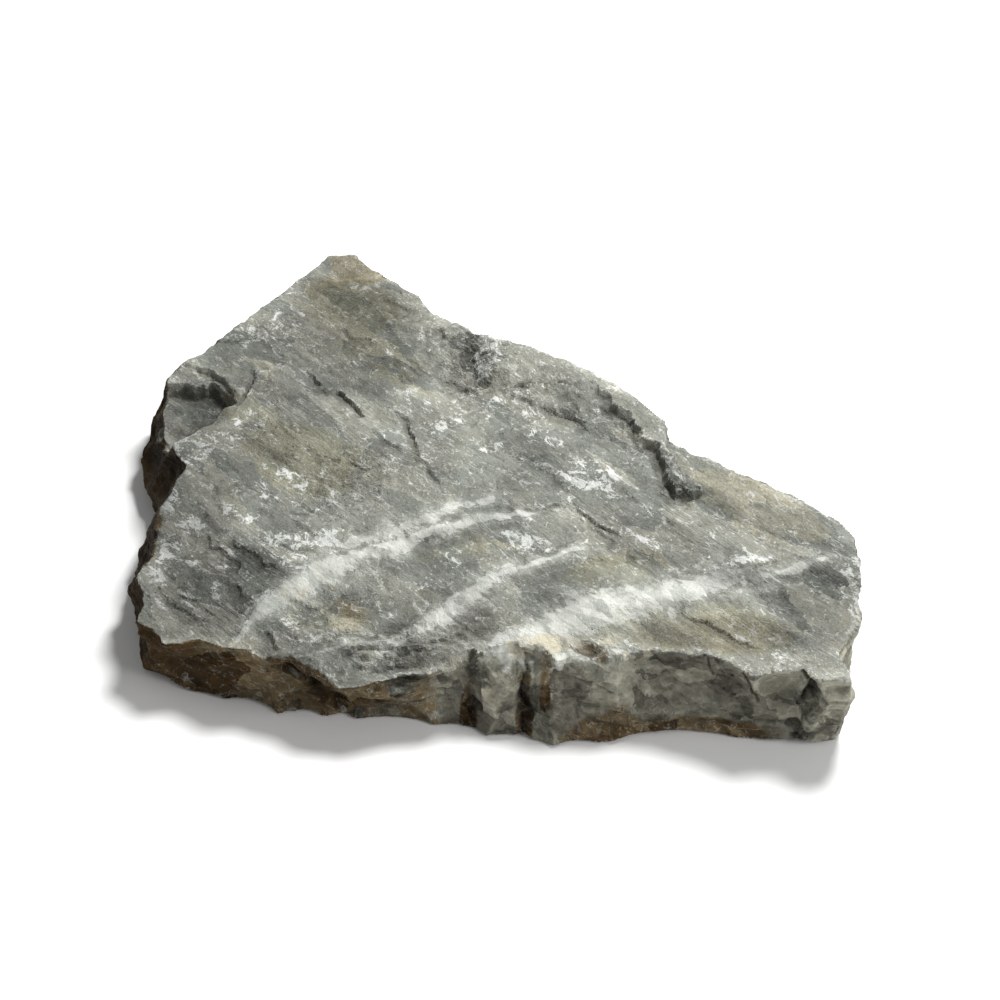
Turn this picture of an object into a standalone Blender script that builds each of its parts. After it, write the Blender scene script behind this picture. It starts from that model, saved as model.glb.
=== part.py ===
"""A rough slab of grey marble, split off along its bedding, with broken edges all round.

The stone is one solid. It starts as a block lofted between the outline of its foot, its belly
and its top edge. The block is cut into fine grain, flakes are knocked off its sides, the beds
are opened, and its top is riven: the level top comes down to a sloping, stepped surface.
Lengths here are millimetres. The finished mesh is in metres, +Z up, standing on Z = 0.
"""

import math
import random

import bmesh
import bpy
import numpy as np
from mathutils import Vector

MM = 0.001
OBJECT = "rough_marble_slab"
NAME = "marble_slab"

# Driving dimensions.
LEVEL = 54.0  # height of the block before its top is riven
BELLY = 21.0  # height of the middle outline
FOOT_LIFT = 3.5  # height of the broken arris round the underside
FOOT_INSET = 2.5  # how far that arris draws in at the very bottom
CENTRE = (-6.9, 15.0)  # middle of the stone, in the outline's own measure
TILT_X, TILT_Y = 0.05, 0.06  # rise of the riven top to the right and to the back
VOXEL = 2.2  # grain of the block before its relief is cut
TRIANGLES = 9400  # of the finished solid

# The beds that show round the sides.
BED = 7.5  # thickness of one bed
BED_REACH = 26.0  # how far round the stone one bed keeps its own depth
BED_OPENING = 3.2  # how far one bed stands out from the next
BED_WAVE, BED_WAVE_LENGTH = 1.5, 45.0

# The riven top.
SPLIT_ANGLE = math.radians(-46)  # direction the cleavage runs across the top
RAGGED = ((2.6, 13.0), (1.0, 5.0))  # how far a broken line wanders, and over what length
RISER = 1.6  # run of a step between one sheet and the next
STEP_TAPER = 9.0  # how far past its ends a step dies out
CLEAVAGE = (120.0, 32.0, 1.0)  # length and width of one cleavage sheet
CLEAVAGE_TREAD = 1.2  # height from one cleavage sheet to the next
WAVE, WAVE_LENGTH = 1.6, 62.0
FURROW, FURROW_SIZE = 0.35, (26.0, 8.0, 1.0)
SHEET_EDGE, SHEET_CROWN = 9.0, 4.0  # lift of the back sheet at its edge, and its rise inward
BENCH_LIFT = 3.4
PIT, SMALL_PIT = 7.0, 4.0  # size of the pits in pitted ground

# The underside.
UNDER_HOLLOW = 3.0  # how far the underside lifts clear between the pads
UNDER_TREAD = 1.1
UNDER_LUMP = 34.0
SKIRT = 8.0  # height over which that hollow fades into the sides
SEAT = 0.3  # whatever stands lower than this is brought down to the pads' level

# The broken edge, anticlockwise from the front left corner. Each row is one corner of it:
# x and y of the top edge, of the belly, and of the foot.
FRONT = [
    (-181, -123, -190, -112, -195, -107),
    (-162, -120, -168, -119, -169, -123),
    (-144, -131, -147, -128, -146, -132),
    (-114, -134, -116, -136, -117, -143),
    (-103, -141, -101, -141, -98, -146),
    (-88, -152, -84, -141, -84, -141),
    (-70, -154, -68, -142, -70, -148),
    (-50, -147, -50, -143, -52, -151),
    (-30, -140, -32, -141, -36, -151),
    (-19, -134, -20, -141, -20, -151),
    (-14, -137, -15, -142, -17, -154),
    (-10, -134, -9, -149, -14, -157),
    (8, -132, 7, -151, 8, -156),
    (13, -137, 12, -146, 13, -154),
    (18, -134, 18, -146, 21, -163),
    (28, -137, 27, -150, 32, -166),
    (36, -139, 36, -150, 43, -164),
    (54, -142, 58, -153, 64, -160),
    (76, -138, 78, -151, 80, -155),
    (92, -140, 92, -149, 96, -154),
    (106, -145, 108, -151, 112, -156),
    (118, -150, 118, -155, 122, -158),
    (132, -157, 134, -159, 137, -162),
    (146, -154, 146, -158, 148, -160),
    (158, -155, 158, -155, 159, -159),
    (162, -164, 163, -165, 163, -161),
    (182, -166, 181, -164, 177, -160),
]
RIGHT = [
    (183, -160, 183, -154, 180, -149),
    (178, -149, 181, -140, 181, -136),
    (184, -137, 189, -128, 188, -125),
    (192, -127, 194, -116, 192, -112),
    (196, -98, 197, -92, 192, -90),
    (197, -80, 195, -72, 190, -70),
    (196, -62, 191, -54, 186, -50),
]
BACK = [
    (189, -50, 184, -40, 178, -34),
    (175, -38, 170, -26, 163, -22),
    (141, -17, 142, -8, 139, -2),
    (108, 6, 114, 18, 112, 28),
    (99, 15, 106, 32, 104, 40),
    (95, 29, 96, 46, 90, 56),
    (76, 51, 77, 60, 74, 68),
    (54, 68, 58, 78, 52, 84),
    (17, 87, 22, 98, 20, 104),
    (-14, 105, -8, 118, -10, 122),
    (-36, 129, -34, 136, -36, 138),
    (-50, 154, -46, 156, -52, 158),
    (-68, 171, -62, 177, -70, 174),
    (-92, 198, -90, 196, -92, 186),
    (-108, 199, -108, 193, -108, 182),
    (-126, 178, -130, 174, -130, 166),
    (-140, 160, -146, 160, -148, 150),
]
LEFT = [
    (-156, 139, -166, 140, -166, 134),
    (-180, 109, -194, 114, -192, 108),
    (-196, 92, -208, 100, -202, 96),
    (-202, 70, -213, 84, -206, 80),
    (-198, 46, -212, 68, -206, 62),
    (-187, 27, -215, 50, -206, 46),
    (-178, 14, -213, 36, -204, 32),
    (-184, -1, -202, 13, -199, 10),
    (-190, -18, -206, -3, -198, -8),
    (-189, -36, -205, -22, -199, -26),
    (-190, -58, -205, -42, -200, -44),
    (-198, -72, -206, -64, -201, -64),
    (-199, -92, -199, -82, -198, -82),
    (-197, -106, -195, -95, -197, -94),
    (-188, -113, -191, -104, -196, -101),
]
EDGE = FRONT + RIGHT + BACK + LEFT

# Flakes struck off the sides: x, y, z of the deepest point, the way the scar faces (turn round
# from +X, and rise above level), how wide the scar is from its middle, how deep, and how many
# times taller than wide it is.
FLAKES = [
    (98, -151, 26, -92, 10, 18, 3.6, 1.0),
    (127, -157, 32, -80, 12, 12, 3.0, 1.2),
    (147, -158, 28, -90, 8, 13, 3.5, 1.0),
    (124, -158, 9, -85, 6, 9, 2.2, 1.0),
    (62, -151, 34, -98, 24, 15, 1.8, 1.0),
    (86, -154, 5, -88, -34, 26, 2.6, 0.5),
    (-168, -122, 20, -116, 8, 15, 3.4, 1.0),
    (-132, -135, 24, -100, 4, 15, 3.0, 1.2),
    (-97, -146, 22, -128, -14, 12, 5.0, 1.2),
    (-62, -145, 17, -88, -4, 14, 2.6, 1.0),
    (-34, -143, 22, -80, 2, 13, 2.6, 1.0),
    (-17, -145, 22, -92, 0, 4.6, 5.5, 7.0),
    (12.5, -150, 20, -96, 0, 4.6, 5.0, 7.0),
    (33, -150, 30, -70, 16, 6, 3.0, 3.0),
    (160, -160, 38, -104, 10, 4.6, 5.0, 4.0),
    (176, -165, 22, -80, 0, 12, 1.6, 0.4),
    (-200, -90, 34, 190, 26, 14, 3.4, 1.0),
    (-205, -58, 16, 184, -14, 18, 3.0, 1.0),
    (-203, -12, 30, 176, 12, 14, 3.0, 1.4),
    (-200, 14, 24, 206, 2, 11, 4.0, 2.5),
    (-206, 40, 32, 200, 22, 18, 4.5, 1.0),
    (-212, 76, 14, 176, -16, 22, 4.0, 1.0),
    (-188, 112, 30, 140, 14, 18, 4.0, 1.0),
    (188, -148, 42, -24, 16, 11, 4.6, 1.0),
    (196, -112, 20, -8, -10, 22, 4.0, 1.0),
    (192, -66, 22, 26, -8, 20, 4.0, 1.0),
    (158, -22, 22, 62, -8, 26, 5.0, 0.8),
    (124, 8, 30, 58, 6, 16, 4.0, 1.0),
    (102, 34, 20, 34, -8, 20, 5.0, 1.0),
    (70, 68, 34, 52, 4, 20, 4.5, 1.0),
    (36, 96, 16, 60, -10, 20, 4.5, 1.0),
    (2, 108, 30, 50, 2, 15, 4.0, 1.4),
    (-24, 126, 24, 56, -6, 20, 4.5, 1.0),
    (-48, 158, 20, 40, -8, 18, 4.5, 1.0),
    (-70, 186, 24, 44, -4, 16, 4.0, 1.0),
    (-116, 188, 20, 128, -12, 20, 4.5, 1.0),
    (-148, 158, 28, 134, -2, 18, 4.0, 1.0),
    (-170, 134, 14, 142, -12, 16, 3.6, 0.8),
]
CHIPS = 150  # small chips off the broken edge besides, scattered by lot

# Steps where one sheet of stone ends on another: the broken line of the step, how far the
# ground drops on its right hand, and how far off the drop dies away.
STEPS = [
    ([(-109, 83), (-100, 73), (-92, 69), (-87, 62), (-81, 55), (-77, 45)], 3.6, 34),
    ([(-73, 40), (-64, 27), (-52, 36), (-51, 28), (-45, 14), (-37, -3)], 2.4, 26),
    ([(-147, 90), (-145, 81), (-147, 74), (-153, 64)], 2.6, 22),
    ([(-165, -31), (-160, -52), (-151, -56), (-146, -65), (-147, -75), (-141, -90)], 2.2, 26),
    ([(-145, -49), (-132, -62), (-121, -73), (-115, -83)], 2.6, 24),
    ([(-185, -84), (-177, -94), (-168, -101), (-156, -109), (-143, -118)], 2.2, 22),
    ([(45, -33), (56, -45), (64, -55), (74, -73)], 2.6, 24),
    ([(99, -113), (113, -123), (122, -131), (132, -138)], 2.0, 20),
    ([(119, -92), (133, -86), (146, -77)], 3.0, 18),
    ([(10, -36), (20, -36), (24, -46), (34, -56)], 2.2, 18),
    ([(-125, -131), (-111, -138), (-97, -147), (-84, -144), (-66, -136), (-42, -137), (-19, -134)], 7.0, 40),
    ([(-204, 84), (-175, 84), (-160, 69), (-171, 54), (-190, 34)], 7.5, 60),
    ([(-190, 101), (-171, 92), (-158, 71)], 3.2, 30),
    ([(-30, -8), (-12, -20), (4, -28), (14, -40)], 1.8, 26),
    ([(-128, 18), (-112, 2), (-100, -16), (-82, -32)], 1.6, 30),
    ([(60, -8), (82, -34), (104, -60), (120, -80)], 1.8, 30),
    ([(-120, 150), (-104, 128), (-84, 116), (-60, 112)], 1.8, 30),
]

# The sheet left standing along the back, and the bench below it.
SHEET = [
    (-44, 120), (-30, 98), (-18, 86), (-13, 66), (-3, 55), (12, 55), (29, 56), (46, 48),
    (64, 36), (71, 18), (80, 4), (90, -18), (97, -33), (111, -34), (115, -28), (103, -17),
    (98, 0), (96, 30), (60, 84), (24, 112), (-16, 136),
]
BENCH = [
    (4, 62), (16, 52), (26, 44), (35, 40), (47, 30), (60, 20), (74, 8), (82, 12), (74, 30),
    (64, 46), (44, 64), (24, 72),
]

# The white seams weather proud: their lines, how high they stand and how wide they are.
SEAMS = [
    ([(-143, -130), (-135, -110), (-125, -95), (-104, -73), (-72, -66), (-44, -50), (-17, -40), (15, -38)],
     1.6, 9),
    ([(-96, -135), (-59, -127), (-38, -110), (-16, -93), (11, -79), (44, -66)], 1.5, 7),
    ([(8, -128), (27, -119), (54, -110), (81, -105), (108, -99), (130, -89)], 4.2, 12),
    ([(130, -89), (157, -85), (179, -80)], 1.4, 8),
]

# Hollows and swells of the top: x, y, half length, half width, turn in degrees, depth.
HOLLOWS = [
    (48, -137, 13, 7, 8, 4.5),
    (-36, 72, 46, 24, -44, 2.6),
    (-86, -100, 42, 26, 20, 2.8),
    (-2, -150, 13, 17, 0, 9.0),
    (-17, -144, 4, 13, -14, 9.0),
    (13, -147, 4, 13, 6, 7.0),
    (104, -128, 60, 22, -8, 2.6),
    (-60, 60, 30, 18, -46, -2.0),
    (-150, 20, 36, 26, -50, -2.4),
    (30, -96, 44, 18, 18, -1.8),
    (-98, 176, 22, 24, 30, 3.0),
    (146, -54, 40, 18, -40, 1.2),
    (-84, -160, 34, 14, 0, 3.0),
    (88, -72, 34, 16, -30, -1.6),
]

# Ground that is pitted rather than split clean: the same measures as the hollows.
PITTED = [
    (-10, 78, 22, 30, -20, 4.5),
    (52, 34, 36, 13, -34, 3.5),
    (-46, -122, 74, 20, 4, 2.6),
    (-76, -48, 46, 12, -14, 2.2),
    (100, -26, 20, 12, -30, 2.4),
]

# Pads the stone stands on: x, y, half length and half width of each.
PADS = [
    (-128, -60, 40, 34),
    (96, -104, 52, 30),
    (-84, 104, 38, 36),
    (8, 6, 22, 18),
]


def smooth(value):
    value = np.clip(value, 0.0, 1.0)
    return value * value * (3.0 - 2.0 * value)


def stair(value, sharp):
    """Treads at the whole numbers, with risers between them as steep as `sharp`."""
    tread = np.floor(value)
    return tread + smooth((value - tread - 0.5) * sharp + 0.5)


def scatter(cells, seed):
    """One steady random number from -1 to 1 for each whole-numbered cell."""
    mixed = cells[:, 0] * 374761393 + cells[:, 1] * 668265263 + cells[:, 2] * 974634777 + seed * 982451653
    mixed = (mixed ^ (mixed >> 13)) * 1274126177
    mixed = mixed ^ (mixed >> 16)
    return (mixed & 0xFFFF) / 32767.5 - 1.0


def swell(points, size, seed):
    """A smooth random height from -1 to 1, in lumps as long as `size` each way."""
    scaled = points / np.asarray(size, dtype=float)
    cell = np.floor(scaled).astype(np.int64)
    part = smooth(scaled - cell)
    total = np.zeros(len(points))
    for corner in np.ndindex(2, 2, 2):
        share = np.prod(np.where(corner, part, 1.0 - part), axis=1)
        total += share * scatter(cell + corner, seed)
    return total


def flat(x, y):
    return np.stack([x, y, np.zeros_like(x)], axis=1)


def beside(x, y, path):
    """How far each point is from a broken line, how far to its right, and how far past its ends."""
    least = np.full(len(x), np.inf)
    away, right, past = (np.zeros(len(x)) for _ in range(3))
    last = len(path) - 2
    for index, ((ax, ay), (bx, by)) in enumerate(zip(path, path[1:])):
        length = math.hypot(bx - ax, by - ay)
        ux, uy = (bx - ax) / length, (by - ay) / length
        along = (x - ax) * ux + (y - ay) * uy
        across = (x - ax) * uy - (y - ay) * ux
        short = np.clip(along, 0.0, length)
        gap = np.hypot(x - ax - ux * short, y - ay - uy * short)
        score = gap - 1e-4 * np.abs(across)
        nearer = score < least
        least = np.where(nearer, score, least)
        away = np.where(nearer, gap, away)
        right = np.where(nearer, across, right)
        over = np.zeros(len(x))
        if index == 0:
            over = np.maximum(over, -along)
        if index == last:
            over = np.maximum(over, along - length)
        past = np.where(nearer, over, past)
    return away, right, past


def inside(x, y, outline):
    """Distance in from a closed outline, negative outside it."""
    ring = outline + outline[:1]
    away, _, _ = beside(x, y, ring)
    odd = np.zeros(len(x), dtype=bool)
    for (ax, ay), (bx, by) in zip(ring, ring[1:]):
        if ay != by:
            crosses = (ay > y) != (by > y)
            odd ^= crosses & (x < ax + (y - ay) * (bx - ax) / (by - ay))
    return np.where(odd, away, -away)


def bowl(x, y, half_length, half_width, turn):
    """One in the middle of an oval, falling smoothly to nothing at its rim."""
    turn = math.radians(turn)
    along = (x * math.cos(turn) + y * math.sin(turn)) / half_length
    across = (y * math.cos(turn) - x * math.sin(turn)) / half_width
    return smooth(1.0 - np.hypot(along, across))


def ragged(x, y):
    """The same places nudged about, so that a line drawn through them breaks raggedly."""
    spot = flat(x, y)
    for seed, (wander, length) in enumerate(RAGGED):
        size = (length, length, 1.0)
        x = x + wander * swell(spot, size, 1 + seed)
        y = y + wander * swell(spot, size, 3 + seed)
    return x, y


def broken_steps(x, y):
    """The drops where one sheet ends on another, and the seams that stand proud."""
    height = np.zeros(len(x))
    for path, drop, reach in STEPS:
        away, right, past = beside(x, y, path)
        fade = smooth(1.0 - away / reach) * smooth(1.0 - past / STEP_TAPER)
        height -= drop * smooth(right / RISER + 0.5) * fade
    for path, lift, width in SEAMS:
        away, _, _ = beside(x, y, path)
        height += lift * smooth(1.0 - away / width)
    return height


def back_sheet(x, y):
    """The sheet left standing along the back, with the bench in front of it."""
    deep = inside(x, y, SHEET)
    sheet = SHEET_EDGE * smooth(deep / 3.0 + 0.6) + SHEET_CROWN * smooth(deep / 26.0)
    bench = BENCH_LIFT * smooth(inside(x, y, BENCH) / 4.0 + 0.4)
    return sheet + np.where(deep < 3.0, bench, 0.0)


def cleaved(x, y):
    """Long thin sheets of the cleavage, one above another, with fine furrows along them."""
    along = x * math.cos(SPLIT_ANGLE) + y * math.sin(SPLIT_ANGLE)
    across = y * math.cos(SPLIT_ANGLE) - x * math.sin(SPLIT_ANGLE)
    run = flat(along, across)
    sheets = 2.0 * swell(run, CLEAVAGE, 5) + 0.7 * swell(flat(x, y), (26, 26, 1), 6)
    return CLEAVAGE_TREAD * stair(sheets, 6.0) + FURROW * swell(run, FURROW_SIZE, 8)


def riven(x, y):
    """Height of the split top over any point of the plan."""
    spot = flat(x, y)
    height = LEVEL + TILT_X * x + TILT_Y * y
    height += WAVE * swell(spot, (WAVE_LENGTH, WAVE_LENGTH, 1), 7)
    height += cleaved(x, y)
    rough_x, rough_y = ragged(x, y)
    height += broken_steps(rough_x, rough_y) + back_sheet(rough_x, rough_y)
    for hx, hy, half_length, half_width, turn, depth in HOLLOWS:
        height -= depth * bowl(x - hx, y - hy, half_length, half_width, turn)
    pits = np.abs(swell(spot, (PIT, PIT, 1), 9) + 0.5 * swell(spot, (SMALL_PIT, SMALL_PIT, 1), 10))
    for px, py, half_length, half_width, turn, depth in PITTED:
        height -= depth * pits * bowl(x - px, y - py, half_length, half_width, turn)
    return height


def ring(mesh, column, height, inset):
    """One closed outline of the block, from a pair of columns of the edge's rows."""
    verts = []
    for row in EDGE:
        x, y = row[column], row[column + 1]
        inward = 1.0 - inset / math.hypot(x, y)
        verts.append(mesh.verts.new(Vector((x * inward, y * inward, height)) * MM))
    return verts


def block():
    """The stone before any flake is off it: a loft from the top edge down to the foot."""
    mesh = bmesh.new()
    rings = [
        ring(mesh, 0, LEVEL, 0.0),
        ring(mesh, 2, BELLY, 0.0),
        ring(mesh, 4, FOOT_LIFT, 0.0),
        ring(mesh, 4, 0.0, FOOT_INSET),
    ]
    count = len(EDGE)
    for upper, lower in zip(rings, rings[1:]):
        for index in range(count):
            after = (index + 1) % count
            mesh.faces.new((upper[index], lower[index], lower[after], upper[after]))
    caps = [mesh.faces.new(rings[0]), mesh.faces.new(rings[-1])]
    bmesh.ops.triangulate(mesh, faces=caps)
    bmesh.ops.recalc_face_normals(mesh, faces=mesh.faces)
    return mesh


def positions(mesh):
    run = np.empty(len(mesh.vertices) * 3)
    mesh.vertices.foreach_get("co", run)
    return run.reshape(-1, 3) / MM


def facings(mesh):
    run = np.empty(len(mesh.vertices) * 3)
    mesh.vertex_normals.foreach_get("vector", run)
    return run.reshape(-1, 3)


def open_beds(points, normals):
    """Push the beds that show round the sides in and out by different amounts."""
    lie = points[:, 2] - 0.6 * (TILT_X * points[:, 0] + TILT_Y * points[:, 1])
    lie += BED_WAVE * swell(points, (BED_WAVE_LENGTH, BED_WAVE_LENGTH, 200.0), 11)
    bed = stair(lie / BED, 4.5) * BED_REACH
    spot = np.stack([points[:, 0], points[:, 1], bed], axis=1)
    steep = 1.0 - np.abs(normals[:, 2])
    out = BED_OPENING * steep * swell(spot, (BED_REACH, BED_REACH, BED_REACH), 12)
    points[:, :2] += normals[:, :2] * out[:, None]


def between(low, high, share):
    return [a + (b - a) * share for a, b in zip(low, high)]


def chips():
    """Places for the small chips, given the same way as the flakes."""
    lot = random.Random(5)
    places = []
    for _ in range(CHIPS):
        index = lot.randrange(len(EDGE))
        before, after = EDGE[index - 1], EDGE[index]
        row = between(before, after, lot.random())
        rim, belly, foot = row[0:2] + [LEVEL], row[2:4] + [BELLY], row[4:6] + [0.0]
        height = lot.uniform(-1.0, 1.5)
        x, y, z = between(belly, rim, height / 1.5) if height > 0 else between(belly, foot, -height)
        ahead = math.atan2(after[1] - before[1], after[0] - before[0])
        turn = math.degrees(ahead) - 90 + lot.uniform(-35, 35)
        bite = lot.uniform(0.8, 2.0)
        wide = bite * lot.uniform(3, 5)
        places.append((x, y, z, turn, lot.uniform(-25, 25), wide, bite, lot.uniform(0.6, 1.5)))
    return places


def knock_flakes(points, flakes):
    """Press each flake scar, part of a big ball, straight into the stone."""
    for x, y, z, azimuth, rise, half, bite, tall in flakes:
        turn, tip = math.radians(azimuth), math.radians(rise)
        facing = np.array([math.cos(turn) * math.cos(tip), math.sin(turn) * math.cos(tip), math.sin(tip)])
        radius = (half * half + bite * bite) / (2.0 * bite)
        stretch = np.array([1.0, 1.0, tall])
        middle = np.array([x, y, z]) + facing * (radius - bite)
        aim = facing / stretch
        aim = aim / np.linalg.norm(aim)
        spoke = (points - middle) / stretch
        depth = spoke @ aim
        aside = np.sum(spoke * spoke, axis=1) - depth * depth
        wall = -np.sqrt(np.maximum(radius * radius - aside, 0.0))
        struck = (aside < radius * radius) & (depth > wall) & (depth < 0.0)
        points[struck] += aim * (wall - depth)[struck, None] * stretch


def hollow_under(points, normals):
    """Hollow the underside between the pads the stone stands on."""
    x, y = points[:, 0], points[:, 1]
    clear = np.ones(len(points))
    for px, py, half_length, half_width in PADS:
        off = np.hypot((x - px) / half_length, (y - py) / half_width)
        clear = np.minimum(clear, smooth(2.2 * (off - 1.0)))
    spot = flat(x, y)
    lift = UNDER_HOLLOW * (0.65 + 0.6 * swell(spot, (UNDER_LUMP, UNDER_LUMP, 1), 31))
    lift = UNDER_TREAD * stair(np.maximum(lift, 0.4) / UNDER_TREAD, 4.0)
    lift += 0.5 * np.abs(swell(spot, (11, 11, 1), 32))
    under = normals[:, 2] < -0.6
    points[:, 2] += np.where(under, clear * lift * smooth(1.0 - points[:, 2] / SKIRT), 0.0)


def marble():
    """Mid grey, dull, as split stone is."""
    material = bpy.data.materials.new("grey_marble")
    material.use_nodes = True
    shader = material.node_tree.nodes["Principled BSDF"]
    shader.inputs["Base Color"].default_value = (0.22, 0.22, 0.19, 1.0)
    shader.inputs["Roughness"].default_value = 0.7
    shader.inputs["Metallic"].default_value = 0.0
    return material


def settle(slab):
    """Work the object's modifiers into its mesh."""
    graph = bpy.context.evaluated_depsgraph_get()
    stone = bpy.data.meshes.new_from_object(slab.evaluated_get(graph))
    slab.modifiers.clear()
    slab.data = stone
    return stone


def cut_grain(slab):
    """Turn the lofted block into an even mesh, fine enough to carry the relief."""
    grain = slab.modifiers.new("Grain", "REMESH")
    grain.mode = "VOXEL"
    grain.voxel_size = VOXEL * MM
    return settle(slab)


def split_facets(slab):
    """Leave only the facets that the relief needs."""
    triangles = len(slab.data.loops) - 2 * len(slab.data.polygons)
    facets = slab.modifiers.new("Facets", "DECIMATE")
    facets.ratio = TRIANGLES / triangles
    return settle(slab)


def seat(stone):
    """Bring the pads to one level, so that the stone rests on flat faces."""
    points = positions(stone)
    points[:, 2] = np.where(points[:, 2] < SEAT, 0.0, points[:, 2])
    stone.vertices.foreach_set("co", (points * MM).ravel())
    stone.update()


def carve(stone):
    """Work the underside, the sides and the top in turn, moving the mesh's points."""
    points = positions(stone)
    normals = facings(stone)
    hollow_under(points, normals)
    open_beds(points, normals)
    knock_flakes(points, FLAKES + chips())
    top = riven(points[:, 0], points[:, 1])
    points[:, 2] = np.maximum(points[:, 2], 0.0) * top / LEVEL
    points[:, :2] -= CENTRE
    stone.vertices.foreach_set("co", (points * MM).ravel())
    stone.update()


def main():
    for old in list(bpy.data.objects):
        bpy.data.objects.remove(old)
    shelf = bpy.data.collections.new(OBJECT)
    bpy.context.scene.collection.children.link(shelf)

    rough = bpy.data.meshes.new(NAME)
    mesh = block()
    mesh.to_mesh(rough)
    mesh.free()
    slab = bpy.data.objects.new(NAME, rough)
    shelf.objects.link(slab)

    carve(cut_grain(slab))
    stone = split_facets(slab)
    seat(stone)
    stone.materials.clear()
    stone.materials.append(marble())


main()
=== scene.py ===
# %% [markdown]
# # A rough slab of grey marble
# One piece of slaty grey marble, split along its bedding on top and broken off all round, with white
# calcite seams. A stone like this could be sculpted by hand, displaced with textures, or carved by
# rule. It is carved by rule here: every ledge, flake scar and seam is a named line or spot in
# millimetres, so it can be read, moved and built again.

import math
import random

import bmesh
import bpy
import numpy as np
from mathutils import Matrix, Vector


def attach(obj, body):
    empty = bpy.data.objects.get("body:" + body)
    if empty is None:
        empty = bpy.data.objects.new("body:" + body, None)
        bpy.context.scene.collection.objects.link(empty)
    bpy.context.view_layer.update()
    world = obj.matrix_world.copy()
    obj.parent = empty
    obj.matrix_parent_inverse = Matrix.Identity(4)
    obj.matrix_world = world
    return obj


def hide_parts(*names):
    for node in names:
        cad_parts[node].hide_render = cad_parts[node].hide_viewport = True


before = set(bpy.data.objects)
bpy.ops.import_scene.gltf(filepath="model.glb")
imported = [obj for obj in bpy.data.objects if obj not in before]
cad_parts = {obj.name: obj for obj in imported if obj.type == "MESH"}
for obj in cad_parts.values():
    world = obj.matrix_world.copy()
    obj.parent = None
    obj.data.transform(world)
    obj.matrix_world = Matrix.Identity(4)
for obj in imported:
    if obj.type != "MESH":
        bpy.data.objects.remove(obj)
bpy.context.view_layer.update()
MM = 0.001
NODE = "marble_slab"

# %% [markdown]
# ## The stone's own measures
# These follow the solid's own: the height of the block it was carved from, the slope of its split
# top, and the corners of its broken edge. Everything is in millimetres.

# %% Measures of the block
LEVEL = 54.0  # height of the block before its top is riven
BELLY = 21.0  # height of its widest outline
FOOT_LIFT, FOOT_INSET = 3.5, 2.5  # the broken arris round the underside
CENTRE = (-6.9, 15.0)  # middle of the footprint, where the stone's own zero lies
TILT_X, TILT_Y = 0.05, 0.06  # slope of the split top
SPLIT_ANGLE = math.radians(-46)  # the way the cleavage runs over the top
VOXEL = 1.15  # grain of the skin that is carved
TRIANGLES = 190000  # how many are kept at the end
print("block", LEVEL, "mm high")

# %% Corners of the broken edge
# Anticlockwise from the front left: x and y of the top edge, the belly and the foot.
EDGE = [
    (-181, -123, -190, -112, -195, -107), (-162, -120, -168, -119, -169, -123),
    (-144, -131, -147, -128, -146, -132), (-114, -134, -116, -136, -117, -143),
    (-103, -141, -101, -141, -98, -146), (-88, -152, -84, -141, -84, -141),
    (-70, -154, -68, -142, -70, -148), (-50, -147, -50, -143, -52, -151),
    (-30, -140, -32, -141, -36, -151), (-19, -134, -20, -141, -20, -151),
    (-14, -137, -15, -142, -17, -154), (-10, -134, -9, -149, -14, -157),
    (8, -132, 7, -151, 8, -156), (13, -137, 12, -146, 13, -154), (18, -134, 18, -146, 21, -163),
    (28, -137, 27, -150, 32, -166), (36, -139, 36, -150, 43, -164),
    (54, -142, 58, -153, 64, -160), (76, -138, 78, -151, 80, -155),
    (92, -140, 92, -149, 96, -154), (106, -145, 108, -151, 112, -156),
    (118, -150, 118, -155, 122, -158), (132, -157, 134, -159, 137, -162),
    (146, -154, 146, -158, 148, -160), (158, -155, 158, -155, 159, -159),
    (162, -164, 163, -165, 163, -161), (182, -166, 181, -164, 177, -160),
    (183, -160, 183, -154, 180, -149), (178, -149, 181, -140, 181, -136),
    (184, -137, 187, -128, 187, -125), (189, -127, 192, -116, 191, -112),
    (196, -98, 197, -92, 192, -90), (197, -80, 195, -72, 190, -70),
    (196, -62, 191, -54, 186, -50), (189, -50, 184, -40, 178, -34),
    (175, -38, 170, -26, 163, -22), (141, -17, 142, -8, 139, -2), (108, 6, 114, 18, 112, 28),
    (99, 15, 106, 32, 104, 40), (95, 29, 96, 46, 90, 56), (76, 51, 77, 60, 74, 68),
    (54, 68, 58, 78, 52, 84), (17, 87, 22, 98, 20, 104), (-14, 105, -8, 118, -10, 122),
    (-36, 129, -34, 136, -36, 138), (-50, 154, -46, 156, -52, 158),
    (-68, 171, -62, 177, -70, 174), (-92, 198, -90, 196, -92, 186),
    (-108, 199, -108, 193, -108, 182), (-126, 178, -130, 174, -130, 166),
    (-140, 160, -146, 160, -148, 150), (-156, 139, -166, 140, -166, 134),
    (-180, 109, -194, 114, -192, 108), (-196, 92, -208, 100, -202, 96),
    (-202, 70, -213, 84, -206, 80), (-198, 46, -212, 68, -206, 62),
    (-187, 27, -215, 50, -206, 46), (-178, 14, -213, 36, -204, 32),
    (-184, -1, -202, 13, -199, 10), (-190, -18, -206, -3, -198, -8),
    (-189, -36, -205, -22, -199, -26), (-190, -58, -205, -42, -200, -44),
    (-198, -72, -206, -64, -201, -64), (-199, -92, -199, -82, -198, -82),
    (-197, -106, -195, -95, -197, -94), (-188, -113, -191, -104, -196, -101),
]
print(len(EDGE), "corners round the edge")

# %% [markdown]
# ## Small tools for carving
# Random swells are made on a lattice in numpy, because two hundred thousand points are moved many
# times over. A scatter of whole-numbered cells gives one steady number for each cell, and a swell
# blends the eight cells round a point. Broken stone isn't that soft, so `facets` packs tilted planes
# side by side: the lowest one shows at each point, and two of them meet at a sharp ridge.

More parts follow.
